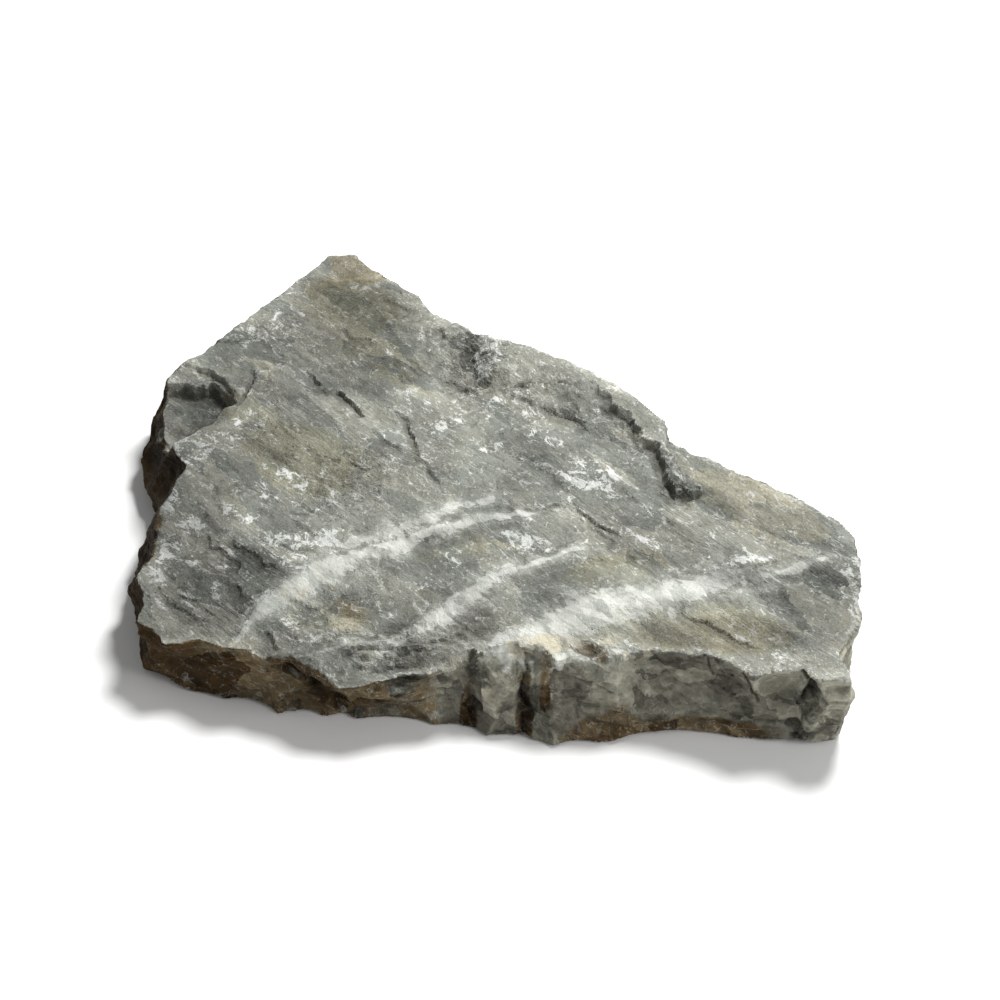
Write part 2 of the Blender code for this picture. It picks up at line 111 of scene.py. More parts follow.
# %% Swells and stairs
def smooth(value):
    value = np.clip(value, 0.0, 1.0)
    return value * value * (3.0 - 2.0 * value)


def stair(value, sharp):
    """Treads at the whole numbers, with risers between them as steep as `sharp`."""
    tread = np.floor(value)
    return tread + smooth((value - tread - 0.5) * sharp + 0.5)


def scatter(cells, seed):
    """One steady random number from -1 to 1 for each whole-numbered cell."""
    # The long odd numbers only shuffle the bits, and the last sixteen bits are the result.
    mixed = cells[:, 0] * 374761393 + cells[:, 1] * 668265263 + cells[:, 2] * 974634777
    mixed = mixed + seed * 982451653
    mixed = (mixed ^ (mixed >> 13)) * 1274126177
    mixed = mixed ^ (mixed >> 16)
    return (mixed & 0xFFFF) / 32767.5 - 1.0


def swell(points, size, seed):
    """A smooth random height from -1 to 1, in lumps as long as `size` each way."""
    scaled = points / np.asarray(size, dtype=float)
    cell = np.floor(scaled).astype(np.int64)
    part = smooth(scaled - cell)
    total = np.zeros(len(points))
    for corner in np.ndindex(2, 2, 2):
        share = np.prod(np.where(corner, part, 1.0 - part), axis=1)
        total += share * scatter(cell + corner, seed)
    return total


def flat(x, y):
    return np.stack([x, y, np.zeros_like(x)], axis=1)


print("a swell at the origin", round(float(swell(np.zeros((1, 3)), 10, 1)[0]), 3))

# %% Facets
# How far a plane's middle strays from its cell's, how dished it is, and how uneven their heights are.
STRAY, DISH, UNEVEN_PLANES = 0.36, 0.9, 0.4


def facets(points, size, seed):
    """Tilted planes packed side by side, `size` across: the lowest one's height, and a tone for it."""
    scaled = points / np.asarray(size, dtype=float)
    cell = np.floor(scaled).astype(np.int64)
    lowest, tone = np.full(len(points), np.inf), np.zeros(len(points))
    for corner in np.ndindex(3, 3, 3):
        home = cell + corner - 1
        off = scaled - home - 0.5
        off -= STRAY * np.stack([scatter(home, seed + axis) for axis in range(3)], axis=1)
        plane = DISH * np.sum(off * off, axis=1) + UNEVEN_PLANES * scatter(home, seed + 6)
        for axis in range(3):
            plane += off[:, axis] * scatter(home, seed + 3 + axis)
        tone = np.where(plane < lowest, scatter(home, seed + 7), tone)
        lowest = np.minimum(lowest, plane)
    return lowest, tone


def packed(points, orders):
    """Several orders of facets added up: how far they stand out, and the tone of each point."""
    height, tones = np.zeros(len(points)), np.zeros(len(points))
    for size, depth, seed, share in orders:
        lowest, tone = facets(points, size, seed)
        height += depth * lowest
        tones += tone * share
    return height, tones


print("a facet at the origin", round(float(facets(np.zeros((1, 3)), 10, 1)[0][0]), 3))

# %% Lines
def beside(x, y, path):
    """How far each point is from a broken line, how far to its right, and how far past its ends."""
    least = np.full(len(x), np.inf)
    away, right, past = (np.zeros(len(x)) for _ in range(3))
    last = len(path) - 2
    for index, ((ax, ay), (bx, by)) in enumerate(zip(path, path[1:])):
        length = math.hypot(bx - ax, by - ay)
        ux, uy = (bx - ax) / length, (by - ay) / length
        along = (x - ax) * ux + (y - ay) * uy
        across = (x - ax) * uy - (y - ay) * ux
        short = np.clip(along, 0.0, length)
        gap = np.hypot(x - ax - ux * short, y - ay - uy * short)
        score = gap - 1e-4 * np.abs(across)
        nearer = score < least
        least = np.where(nearer, score, least)
        away = np.where(nearer, gap, away)
        right = np.where(nearer, across, right)
        over = np.zeros(len(x))
        if index == 0:
            over = np.maximum(over, -along)
        if index == last:
            over = np.maximum(over, along - length)
        past = np.where(nearer, over, past)
    return away, right, past


def inside(x, y, outline):
    """Distance in from a closed outline, negative outside it."""
    ring = outline + outline[:1]
    away, _, _ = beside(x, y, ring)
    odd = np.zeros(len(x), dtype=bool)
    for (ax, ay), (bx, by) in zip(ring, ring[1:]):
        if ay != by:
            crosses = (ay > y) != (by > y)
            odd ^= crosses & (x < ax + (y - ay) * (bx - ax) / (by - ay))
    return np.where(odd, away, -away)


SQUARE = [(0, 0), (10, 0), (10, 10), (0, 10)]
print("the middle of a square lies", inside(np.array([5.0]), np.array([5.0]), SQUARE)[0], "mm in")

# %% Ovals, and the plan turned
def bowl(x, y, half_length, half_width, turn):
    """One in the middle of an oval, falling smoothly to nothing at its rim."""
    turn = math.radians(turn)
    along = (x * math.cos(turn) + y * math.sin(turn)) / half_length
    across = (y * math.cos(turn) - x * math.sin(turn)) / half_width
    return smooth(1.0 - np.hypot(along, across))


def along_split(x, y):
    """The plan turned so that its first measure runs along the cleavage."""
    along = x * math.cos(SPLIT_ANGLE) + y * math.sin(SPLIT_ANGLE)
    return flat(along, y * math.cos(SPLIT_ANGLE) - x * math.sin(SPLIT_ANGLE))


print("a bowl half way out", round(float(bowl(np.array([5.0]), np.array([0.0]), 10, 10, 0)[0]), 2))

# %% [markdown]
# ## The block
# A stone's outline is no circle, but a capped circle with one vertex for each corner of the edge is a
# quick start: its vertices are moved to the corners, and the cap is extruded down three times, to the
# belly, the foot and the arris under it. The voxel remesh then gives an even skin to carve.

# %% Loft the block
def lower_ring(mesh, face, ring, column, height, inset):
    """Extrude the cap once, and move its corners to the next outline down."""
    order = {(round(v.co.x, 6), round(v.co.y, 6)): i for i, v in enumerate(ring)}
    grown = bmesh.ops.extrude_face_region(mesh, geom=[face])["geom"]
    cap = next(g for g in grown if isinstance(g, bmesh.types.BMFace))
    ring = sorted(cap.verts, key=lambda v: order[(round(v.co.x, 6), round(v.co.y, 6))])
    for vert, row in zip(ring, EDGE):
        x, y = row[column], row[column + 1]
        inward = 1.0 - inset / math.hypot(x, y)
        vert.co = Vector((x * inward, y * inward, height)) * MM
    return cap, ring


def block():
    mesh = bmesh.new()
    ring = bmesh.ops.create_circle(mesh, cap_ends=True, segments=len(EDGE), radius=1.0)["verts"]
    for vert, row in zip(ring, EDGE):
        vert.co = Vector((row[0], row[1], LEVEL)) * MM
    cap = mesh.faces[:][0]
    for column, height, inset in ((2, BELLY, 0.0), (4, FOOT_LIFT, 0.0), (4, 0.0, FOOT_INSET)):
        cap, ring = lower_ring(mesh, cap, ring, column, height, inset)
    bmesh.ops.triangulate(mesh, faces=[f for f in mesh.faces if len(f.verts) > 4])
    bmesh.ops.recalc_face_normals(mesh, faces=mesh.faces)
    print("open edges:", sum(e.is_boundary for e in mesh.edges), "faces:", len(mesh.faces))
    return mesh


rough = bpy.data.meshes.new("split_marble")
carcass = block()
carcass.to_mesh(rough)
carcass.free()
slab = bpy.data.objects.new("split_marble_slab", rough)
bpy.context.scene.collection.objects.link(slab)

# %% An even skin to carve
def settle(thing):
    """Work an object's modifiers into its mesh."""
    graph = bpy.context.evaluated_depsgraph_get()
    mesh = bpy.data.meshes.new_from_object(thing.evaluated_get(graph))
    thing.modifiers.clear()
    thing.data = mesh
    return mesh


grain = slab.modifiers.new("Grain", "REMESH")
grain.mode = "VOXEL"
grain.voxel_size = VOXEL * MM
skin = settle(slab)
print("points to carve:", len(skin.vertices))

# %% Read and move points
def positions(mesh):
    run = np.empty(len(mesh.vertices) * 3)
    mesh.vertices.foreach_get("co", run)
    return run.reshape(-1, 3) / MM


def facings(mesh):
    run = np.empty(len(mesh.vertices) * 3)
    mesh.vertex_normals.foreach_get("vector", run)
    return run.reshape(-1, 3)


def put_back(mesh, points):
    mesh.vertices.foreach_set("co", (points * MM).ravel())
    mesh.update()


points = positions(skin)
normals = facings(skin)
print("stone from", points.min(0).round(1), "to", points.max(0).round(1), "mm")

# %% [markdown]
# ## The underside
# The stone stands on a few flat pads, and is hollow between them, as a split stone never lies flat all
# over. Only the points that face down are lifted, and the lift fades out a little way up the sides.

# %% Hollow the underside
# The pads: x, y, half length and half width of each.
PADS = [
    (-128, -60, 40, 34), (96, -104, 52, 30), (-84, 104, 38, 36), (8, 6, 22, 18),
]
UNDER_HOLLOW, UNDER_TREAD = 3.0, 1.1  # how deep it is, in treads how high
UNDER_LUMP = 34.0
SKIRT = 8.0  # height over which the hollow fades into the sides
FACES_DOWN = -0.6  # how far a normal points down on the underside


def hollow_under(points, normals):
    x, y = points[:, 0], points[:, 1]
    clear = np.ones(len(points))
    for px, py, half_length, half_width in PADS:
        off = np.hypot((x - px) / half_length, (y - py) / half_width)
        clear = np.minimum(clear, smooth(2.2 * (off - 1.0)))
    spot = flat(x, y)
    lift = UNDER_HOLLOW * (0.65 + 0.6 * swell(spot, (UNDER_LUMP, UNDER_LUMP, 1), 31))
    lift = UNDER_TREAD * stair(np.maximum(lift, 0.4) / UNDER_TREAD, 4.0)
    lift += 0.5 * np.abs(swell(spot, (11, 11, 1), 32))
    lift += 0.25 * stair(2.4 * swell(along_split(x, y), (30, 6, 1), 33), 7.0)
    lift = clear * lift * smooth(1.0 - points[:, 2] / SKIRT)
    points[:, 2] += np.where(normals[:, 2] < FACES_DOWN, lift, 0.0)
    return lift.max()


print("underside hollowed by up to", hollow_under(points, normals).round(1), "mm")

# %% [markdown]
# ## The broken sides
# The sides show the beds: layers pushed in and out by different amounts, first in thick beds, then in
# thin ones. Small chips break them up, and the big flakes are pressed in last, because a fresh scar
# cuts clean through the beds. A struck flake leaves a scar like part of a big ball, so each scar is
# pressed in by one ball of the right size.

# %% Open the beds
# Each row: thickness of a bed, how far round the stone it keeps its depth, how far it stands out,
# and the seed of its swell.
BEDS = (
    (7.5, 30.0, 1.6, 12),
    (2.6, 16.0, 0.5, 61),
    (1.4, 9.0, 0.25, 62),
)
BED_WAVE, BED_WAVE_LENGTH = 1.5, 45.0
BED_TILT = 0.6  # share of the top's slope that the beds follow


def open_beds(points, normals):
    lie = points[:, 2] - BED_TILT * (TILT_X * points[:, 0] + TILT_Y * points[:, 1])
    lie += BED_WAVE * swell(points, (BED_WAVE_LENGTH, BED_WAVE_LENGTH, 200.0), 11)
    upright = 1.0 - np.abs(normals[:, 2])
    out = np.zeros(len(points))
    for thick, reach, opening, seed in BEDS:
        bed = stair(lie / thick, 4.5) * reach
        spot = np.stack([points[:, 0], points[:, 1], bed], axis=1)
        out += opening * upright * swell(spot, (reach, reach, reach), seed)
    points[:, :2] += normals[:, :2] * out[:, None]


open_beds(points, normals)
print(len(BEDS), "orders of beds opened round the sides")

# %% Chip the sides
# Three orders of chips packed side by side: how long, wide and tall they are, how deep, a seed, and
# how much each order counts in the tone of a chip.
CHIPPED = (
    ((34, 34, 26), 6.0, 70, 0.5),
    ((14, 14, 11), 2.4, 80, 0.25),
    ((5.5, 5.5, 4), 0.6, 90, 0.25),
)
UPRIGHT, UPRIGHT_FADE = 0.85, 0.3  # how little a side's normal leans up, and where that fades


def wobble(points, size, seed):
    """A small random push in all three directions."""
    return np.stack([swell(points, (size, size, size), seed + axis) for axis in range(3)], axis=1)


def broken(points):
    """How far the small chips stand out at each point, and the tone of each chip."""
    return packed(points + 1.5 * wobble(points, 7, 66), CHIPPED)


def chip_sides(points, normals):
    """Break the sides into small flat chips that meet at sharp ridges."""
    out, _ = broken(points)
    upright = smooth((UPRIGHT - np.abs(normals[:, 2])) / UPRIGHT_FADE)
    points[:, :2] += normals[:, :2] * (upright * (out - out.mean()))[:, None]


chip_sides(points, normals)
print(len(CHIPPED), "orders of chips")

# %% Knock the flakes off
# Flakes: x, y, z of the scar, the way it faces (turn, rise), half width, depth, and stretch upward.
FLAKES = [
    (97, -152, 32, -98, 14, 30, 8.0, 1.0), (144, -160, 34, -82, 6, 17, 6.0, 1.2),
    (121, -162, 15, -74, -6, 17, 5.0, 1.0), (100, -158, 8, -92, -20, 26, 5.0, 0.7),
    (60, -151, 38, -102, 30, 18, 3.0, 0.8), (52, -156, 16, -84, 6, 16, 3.0, 0.7),
    (86, -154, 4, -88, -34, 30, 3.6, 0.5), (-168, -122, 20, -116, 8, 15, 3.4, 1.0),
    (-140, -134, 26, -104, -10, 24, 7.0, 1.0), (-112, -140, 18, -84, -6, 16, 4.5, 1.0),
    (-97, -146, 22, -128, -14, 12, 5.0, 1.2), (-62, -146, 14, -88, -8, 20, 4.0, 1.0),
    (-34, -144, 22, -80, 2, 15, 3.4, 1.0), (-17, -147, 22, -116, 0, 5.5, 9.0, 6.0),
    (-2, -153, 32, -92, 28, 12, 3.5, 1.4), (-3, -156, 14, -84, 0, 12, 2.0, 1.0),
    (12, -153, 20, -128, 0, 5.0, 8.0, 6.0), (24, -158, 28, -112, 8, 9, 2.4, 2.4),
    (34, -160, 24, -72, 4, 10, 2.0, 2.2), (162, -162, 34, -104, 6, 5.6, 6.0, 3.0),
    (174, -167, 41, -84, 10, 13, 2.6, 0.3), (176, -166, 29, -80, -8, 13, 2.6, 0.25),
    (172, -164, 15, -84, -4, 13, 2.2, 0.5), (-200, -90, 34, 190, 26, 14, 3.4, 1.0),
    (-205, -58, 16, 184, -14, 18, 3.0, 1.0), (-203, -12, 30, 176, 12, 14, 3.0, 1.4),
    (-204, 16, 24, 206, 2, 14, 3.0, 1.6), (-206, 40, 32, 200, 22, 18, 4.5, 1.0),
    (-212, 76, 14, 176, -16, 22, 4.0, 1.0), (-188, 112, 30, 140, 14, 18, 4.0, 1.0),
    (196, -112, 20, -8, -10, 22, 2.4, 1.0), (192, -66, 22, 26, -8, 20, 4.0, 1.0),
    (158, -22, 22, 62, -8, 26, 5.0, 0.8), (124, 8, 30, 58, 6, 16, 4.0, 1.0),
    (102, 34, 20, 34, -8, 20, 5.0, 1.0), (70, 68, 34, 52, 4, 20, 4.5, 1.0),
    (36, 96, 16, 60, -10, 20, 4.5, 1.0), (2, 108, 30, 50, 2, 15, 4.0, 1.4),
    (-24, 126, 24, 56, -6, 20, 4.5, 1.0), (-48, 158, 20, 40, -8, 18, 4.5, 1.0),
    (-70, 186, 24, 44, -4, 16, 4.0, 1.0), (-116, 188, 20, 128, -12, 20, 4.5, 1.0),
    (-148, 158, 28, 134, -2, 18, 4.0, 1.0), (-170, 134, 14, 142, -12, 16, 3.6, 0.8),
]
# How far a scar's skin strays from the ball, how long the lumps are, and a seed.
SCAR_WAVES = ((0.9, 14, 46), (0.2, 4, 63))


def knock_flakes(points, flakes):
    """Press each flake scar, part of a big ball, straight into the stone."""
    uneven = sum(stray * wobble(points, size, seed) for stray, size, seed in SCAR_WAVES)
    for x, y, z, azimuth, rise, half, bite, tall in flakes:
        turn, tip = math.radians(azimuth), math.radians(rise)
        level = math.cos(tip)
        facing = np.array([math.cos(turn) * level, math.sin(turn) * level, math.sin(tip)])
        radius = (half * half + bite * bite) / (2.0 * bite)
        stretch = np.array([1.0, 1.0, tall])
        middle = np.array([x, y, z]) + facing * (radius - bite)
        reach = radius * max(1.0, tall)
        near = np.flatnonzero(np.all(np.abs(points - middle) < reach, axis=1))
        aim = facing / stretch
        aim = aim / np.linalg.norm(aim)
        spoke = (points[near] + uneven[near] - middle) / stretch
        depth = spoke @ aim
        aside = np.sum(spoke * spoke, axis=1) - depth * depth
        wall = -np.sqrt(np.maximum(radius * radius - aside, 0.0))
        struck = (aside < radius * radius) & (depth > wall) & (depth < 0.0)
        points[near[struck]] += aim * (wall - depth)[struck, None] * stretch


knock_flakes(points, FLAKES)
print(len(FLAKES), "flakes knocked off")

# %% [markdown]
# ## The riven top
# Slate and slaty marble split in thin sheets, so the top is a stack of low terraces that run with
# the cleavage, broken by a few bold ledges. A step is a broken line where one thin sheet of stone ends
# on the next. Heights are worked out over the plan and the level top is scaled to them, which carries
# the edge of the stone along with it and leaves no seam at the rim.

# %% Bold ledges
# Steps: the line, the drop on its right hand, how far off the drop dies away, how wide its face is.
STEPS = [
    ([(-109, 83), (-100, 73), (-92, 69), (-87, 62), (-81, 54)], 2.4, 18, 0.8),
    ([(-54, 38), (-51, 28), (-45, 14), (-39, 0)], 1.1, 12, 0.8),
    ([(-147, 90), (-145, 81), (-147, 74), (-153, 64)], 2.2, 18, 0.8),
    ([(-165, -31), (-160, -52), (-151, -56), (-146, -65), (-147, -75),
     (-141, -90)], 1.2, 16, 0.8),
    ([(-145, -49), (-132, -62), (-121, -73), (-115, -83)], 1.8, 18, 2.0),
    ([(-128, -50), (-116, -58), (-104, -60), (-96, -66)], 1.2, 12, 1.4),
    ([(-185, -84), (-177, -94), (-168, -101), (-156, -109), (-143, -118)], 1.5, 14, 0.8),
    ([(-174, -88), (-160, -98), (-150, -108)], 1.0, 9, 0.8),
    ([(45, -33), (56, -45), (64, -55), (74, -73)], 1.7, 16, 0.8),
    ([(55, -50), (62, -58), (70, -64)], 1.2, 8, 0.8),
    ([(99, -113), (113, -123), (122, -131), (132, -138)], 1.3, 12, 0.8),
    ([(119, -92), (133, -86), (146, -77)], 1.6, 12, 1.0),
    ([(18, -32), (25, -33), (34, -30)], 1.2, 8, 0.8),
    ([(12, 56), (18, 53), (27, 46), (36, 39), (48, 33)], 1.5, 12, 0.8),
    ([(-123, -122), (-114, -130), (-103, -138), (-92, -141), (-71, -131),
     (-52, -122)], 2.2, 16, 1.6),
    ([(-90, -147), (-66, -139), (-44, -139)], 1.4, 8, 1.2),
    ([(-52, -134), (-38, -126), (-24, -122)], 1.3, 9, 0.8),
    ([(-84, -136), (-66, -130), (-50, -130), (-30, -131)], 1.3, 8, 0.8),
    ([(-104, -128), (-88, -122), (-74, -122)], 1.0, 8, 0.8),
    ([(-110, -112), (-98, -104), (-88, -92)], 1.2, 9, 0.8),
    ([(-69, 32), (-64, 25), (-59, 21)], 1.2, 10, 0.8),
    ([(-107, 23), (-100, 16), (-93, 13)], 0.9, 9, 0.8),
    ([(-55, 44), (-52, 30), (-45, 15), (-40, 4), (-35, -7)], 1.0, 7, 0.8),
    ([(-86, 12), (-78, 8), (-66, 6)], 0.9, 9, 0.8),
    ([(-128, 18), (-112, 2), (-100, -16)], 0.8, 14, 0.8),
    ([(70, -20), (84, -34), (98, -50)], 0.9, 14, 0.8),
    ([(-100, 132), (-90, 120), (-78, 112)], 1.0, 12, 0.8),
    ([(-125, -131), (-111, -138), (-97, -147), (-84, -144), (-66, -136), (-42, -137),
     (-19, -134)], 7.0, 40, 12.0),
    ([(-204, 84), (-175, 84), (-160, 69), (-171, 54), (-190, 34)], 8.5, 60, 5.0),
    ([(-190, 101), (-171, 92), (-158, 71)], 3.2, 30, 2.5),
]
RISER = 0.8  # width of an ordinary step's face
STEP_TAPER = 9.0  # how far past its ends a step dies away
print("bold ledges:", len(STEPS))

# %% Ragged lines
# How far a line strays, the length of its wiggles, and the seeds for x and y.
RAGGED = ((2.6, 13.0, 1, 3), (1.0, 5.0, 2, 4), (0.5, 2.2, 41, 42))
# Painted shade: a dark line at the foot of each ledge stands for its shadow.
FOOT_WIDTH, FOOT_TAPER = 1.3, 3.0  # the dark line at the foot of a ledge


def ragged(x, y):
    """The same places nudged about, so that a line drawn through them breaks raggedly."""
    spot = flat(x, y)
    for wander, length, seed_x, seed_y in RAGGED:
        size = (length, length, 1.0)
        x = x + wander * swell(spot, size, seed_x)
        y = y + wander * swell(spot, size, seed_y)
    return x, y


def broken_steps(x, y, steps):
    """The drops where one sheet of stone ends on another, and how near the painted shade at their foot
    is.
    """
    height, foot_shade = np.zeros(len(x)), np.zeros(len(x))
    for path, drop, reach, riser in steps:
        xs, ys = [p[0] for p in path], [p[1] for p in path]
        box_x = (x > min(xs) - reach) & (x < max(xs) + reach)
        near = np.flatnonzero(box_x & (y > min(ys) - reach) & (y < max(ys) + reach))
        spot = flat(x[near], y[near])
        away, right, past = beside(x[near], y[near], path)
        fade = smooth(1.0 - away / reach) * smooth(1.0 - past / STEP_TAPER)
        come_and_go = smooth(0.75 + 1.1 * swell(spot, (11, 11, 1), 58))
        fade *= come_and_go + (1.0 - come_and_go) * smooth((riser - 1.0) / 3.0)
        height[near] -= drop * smooth(right / riser + 0.5) * fade
        width = FOOT_WIDTH + swell(spot, (6, 6, 1), 59)
        off_foot = np.abs(right - 0.3 * riser - 0.3 * width)
        narrow = smooth(1.0 - off_foot / width) * smooth(1.0 - past / FOOT_TAPER)
        deepest_shade = min(1.0, 0.42 * drop / riser)
        foot_shade[near] = np.maximum(foot_shade[near], narrow * come_and_go * deepest_shade)
    return height, foot_shade


print("lines stray by up to", sum(row[0] for row in RAGGED), "mm")

# %% Small ledges by lot
SMALL_LEDGES = 90


def small_ledges():
    """Short steps scattered over the top, most of them running with the cleavage."""
    lot = random.Random(21)
    ledges = []
    for _ in range(SMALL_LEDGES):
        x, y = lot.uniform(-200, 190), lot.uniform(-160, 190)
        run = SPLIT_ANGLE + lot.gauss(0.0, 0.35) + (math.pi if lot.random() < 0.3 else 0.0)
        length, bend = lot.uniform(6, 24), lot.uniform(-0.5, 0.5)
        path = [(x, y)]
        for piece in range(3):
            turn = run + bend * piece
            x, y = x + math.cos(turn) * length / 3, y + math.sin(turn) * length / 3
            path.append((x, y))
        ledges.append((path, lot.uniform(0.3, 1.0), lot.uniform(6, 14), RISER))
    return ledges


print("small ledges:", len(small_ledges()))

# %% [markdown]
# ## Proud seams and the sheet along the back
# The white seams were left a little proud when the stone split. Along the back one thick sheet was
# left standing too, with a lower bench in front of it, and small dark sockets are broken out along its
# foot. All of these are heights over the plan, so they only have to be added up.

# %% Proud seams
# Seams: the line, how proud it stands, how wide it is.
SEAMS = [
    ([(-143, -130), (-135, -110), (-125, -95), (-104, -73), (-72, -66), (-44, -50),
     (-17, -40), (15, -38)], 1.6, 9),
    ([(-96, -135), (-59, -127), (-38, -110), (-16, -93), (11, -79), (44, -66)], 1.5, 7),
    ([(8, -130), (28, -123), (56, -109), (81, -105), (104, -97), (124, -91)], 3.0, 17),
    ([(130, -89), (157, -85), (179, -80)], 1.4, 8),
]


def proud_seams(x, y):
    height = np.zeros(len(x))
    for path, lift, width in SEAMS:
        away, _, _ = beside(x, y, path)
        height += lift * smooth(1.0 - away / width)
    return height


print(len(SEAMS), "seams")

# %% The sheet and its bench
SHEET = [
    (-44, 120), (-30, 98), (-18, 86), (-13, 66), (-3, 55), (12, 57), (29, 58), (46, 52), (58, 52),
    (67, 42), (75, 28), (79, 15), (89, 6), (93, 0), (92, -18), (97, -30), (110, -33), (116, -24),
    (105, -14), (98, 0), (96, 30), (60, 84), (24, 112), (-16, 136),
]
BENCH = [
    (4, 62), (16, 52), (26, 44), (35, 40), (47, 30), (60, 20), (74, 8), (82, 12), (74, 30),
    (64, 46), (44, 64), (24, 72),
]
# The sheet rises in two stages, each so high, and its edge is steepest towards the right.
SHEET_RISE, SHEET_CROWN, BENCH_RISE = 5.5, 4.0, 1.8
SHEET_EDGE, SHEET_SLOPE = 3.0, 26.0


def back_sheet(x, y):
    """The sheet left standing along the back, with the bench in front of it."""
    deep = inside(x, y, SHEET) + 3.5 * facets(flat(x, y), (13, 9, 999), 150)[0] - 0.7
    edge = SHEET_EDGE + SHEET_SLOPE * smooth((74.0 - x) / 40.0)
    sheet = SHEET_RISE * smooth(deep / edge + 0.5) + SHEET_CROWN * smooth(deep / SHEET_SLOPE)
    bench = BENCH_RISE * smooth(inside(x, y, BENCH) / 12.0 + 0.4)
    return sheet + np.where(deep < SHEET_EDGE, bench, 0.0)


print("the sheet stands", SHEET_RISE + SHEET_CROWN, "mm above the top")

# %% Hollows, sockets and pitted ground
# Each row: x, y, half length, half width, turn in degrees, depth. A depth below zero is a rise.
HOLLOWS = [
    (47, -137, 14, 7, -20, 4.5), (18, 92, 96, 46, -35, -5.0), (-36, 72, 46, 24, -44, 2.6),
    (-86, -100, 42, 26, 20, 2.8), (-2, -150, 13, 17, 0, 8.0), (-17, -144, 4, 13, -10, 7.0),
    (13, -147, 4, 13, 6, 6.0), (104, -128, 60, 22, -8, 2.6), (-60, 60, 30, 18, -46, -2.0),
    (-150, 20, 36, 26, -50, -2.4), (30, -96, 44, 18, 18, -1.8), (-98, 176, 22, 24, 30, 3.0),
    (146, -54, 40, 18, -40, 1.2), (-84, -160, 34, 14, 0, 3.0), (88, -72, 34, 16, -30, -1.6),
]
SOCKETS = [
    (-21, 103, 10, 8, 20, 2.0), (-19, 90, 7, 10, 0, 1.6), (-14, 78, 6, 9, 20, 1.4),
    (-10, 68, 8, 5, 0, 1.6), (14, 62, 7, 4, -10, 2.0), (38, 42, 8, 4, -40, 1.2),
    (62, 40, 10, 5, -50, 1.2), (92, -2, 17, 10, -62, 0.8), (72, 27, 14, 6, -60, 0.6),
]
PITTED = [
    (-16, 84, 20, 30, -20, 2.4), (40, 44, 50, 18, -36, 1.6), (-60, -127, 88, 26, 4, 2.8),
    (-76, -48, 46, 12, -14, 2.2), (100, -26, 20, 12, -30, 2.4),
]
print(len(HOLLOWS), "hollows and swells,", len(SOCKETS), "sockets")

# %% [markdown]
# ## The cleavage
# Between the ledges the top isn't flat either: it has split into long splinters that lie side by side
# with the cleavage, and into treads a fraction of a millimetre high that come and go. Both are drawn
# out by squeezing the plan along the cleavage before the pattern is read.

# %% Splinters and treads
# Three orders of splinters, given as the chips are. They are so tall that height makes no difference.
SPLINTERS = (
    ((64, 26, 999), 1.7, 100, 0.5),
    ((24, 9, 999), 0.75, 110, 0.25),
    ((9, 3.2, 999), 0.28, 120, 0.25),
)


def splinters(x, y):
    """Long flat splinters side by side, in three orders, and the tone of each."""
    return packed(along_split(*ragged(x, y)), SPLINTERS)


def part_way(height, tread, sharp, keep):
    """Cut a slope into treads, but only as far as `keep` says, so that the ledges come and go."""
    return height + keep * (tread * stair(height / tread, sharp) - height)


def cleaved(x, y):
    """The splinters, with faint ledges that fade in and out."""
    spot, run = flat(x, y), along_split(x, y)
    height, _ = splinters(x, y)
    height += 0.8 * swell(spot, (34, 34, 1), 6)
    sheets = 1.5 * swell(run, (70, 20, 1), 5) + 0.5 * swell(spot, (9, 9, 1), 52)
    keep = smooth(1.6 * swell(run, (34, 16, 1), 56) - 0.2)
    height += part_way(sheets, 0.9, 8.0, keep) - sheets
    thin = 1.6 * swell(run, (30, 6, 1), 51) + 0.6 * swell(spot, (5, 5, 1), 54)
    keep = smooth(1.6 * swell(run, (22, 9, 1), 57) - 0.1)
    return height + part_way(thin, 0.4, 7.0, keep) - thin


print(len(SPLINTERS), "orders of splinters")

# %% Rive the top
def hackles(x, y):
    """Rough broken ground between the seams, and where the stone is crushed."""
    spot = flat(*ragged(x, y))
    coarse, _ = facets(spot, (15, 6, 999), 130)
    fine, _ = facets(spot, (6, 3, 999), 140)
    height = np.zeros(len(x))
    for px, py, half_length, half_width, turn, depth in PITTED:
        rough = bowl(x - px, y - py, half_length, half_width, turn)
        height += depth * (0.9 * coarse + 0.4 * fine) * rough
    return height


def riven(x, y):
    """Height of the split top over any point of the plan."""
    height = LEVEL + TILT_X * x + TILT_Y * y
    height += 1.4 * swell(flat(x, y), (62, 62, 1), 7)
    height += cleaved(x, y)
    rough_x, rough_y = ragged(x, y)
    height += back_sheet(rough_x, rough_y) + proud_seams(rough_x, rough_y)
    height += broken_steps(rough_x, rough_y, STEPS + small_ledges())[0]
    for hx, hy, half_length, half_width, turn, depth in HOLLOWS + SOCKETS:
        height -= depth * bowl(x - hx, y - hy, half_length, half_width, turn)
    return height + hackles(x, y)


top = riven(points[:, 0], points[:, 1])
points[:, 2] = np.maximum(points[:, 2], 0.0) * top / LEVEL
points[:, :2] -= CENTRE
put_back(skin, points)
print("riven top between", top.min().round(1), "and", top.max().round(1), "mm")

# %% [markdown]
# ## Rough faces on the ledges
# Heights moved straight up leave a ledge's face streaked from top to bottom. So the faces are broken
# once more, this time outward along their own direction. Two places split cleaner than the rest and
# are left smoother: the notch on the left, and the right half of the front.

# %% Roughen the ledges
LEDGE_LOW, LEDGE_HIGH = -0.3, 0.985  # how far a ledge's normal leans up
NOTCH = (-178.0, 55.0, 60.0)  # x, y and radius of the smoother notch
CLEAN_X, CLEAN_Y = 60.0, -136.0  # the smoother front lies right of this, and before it


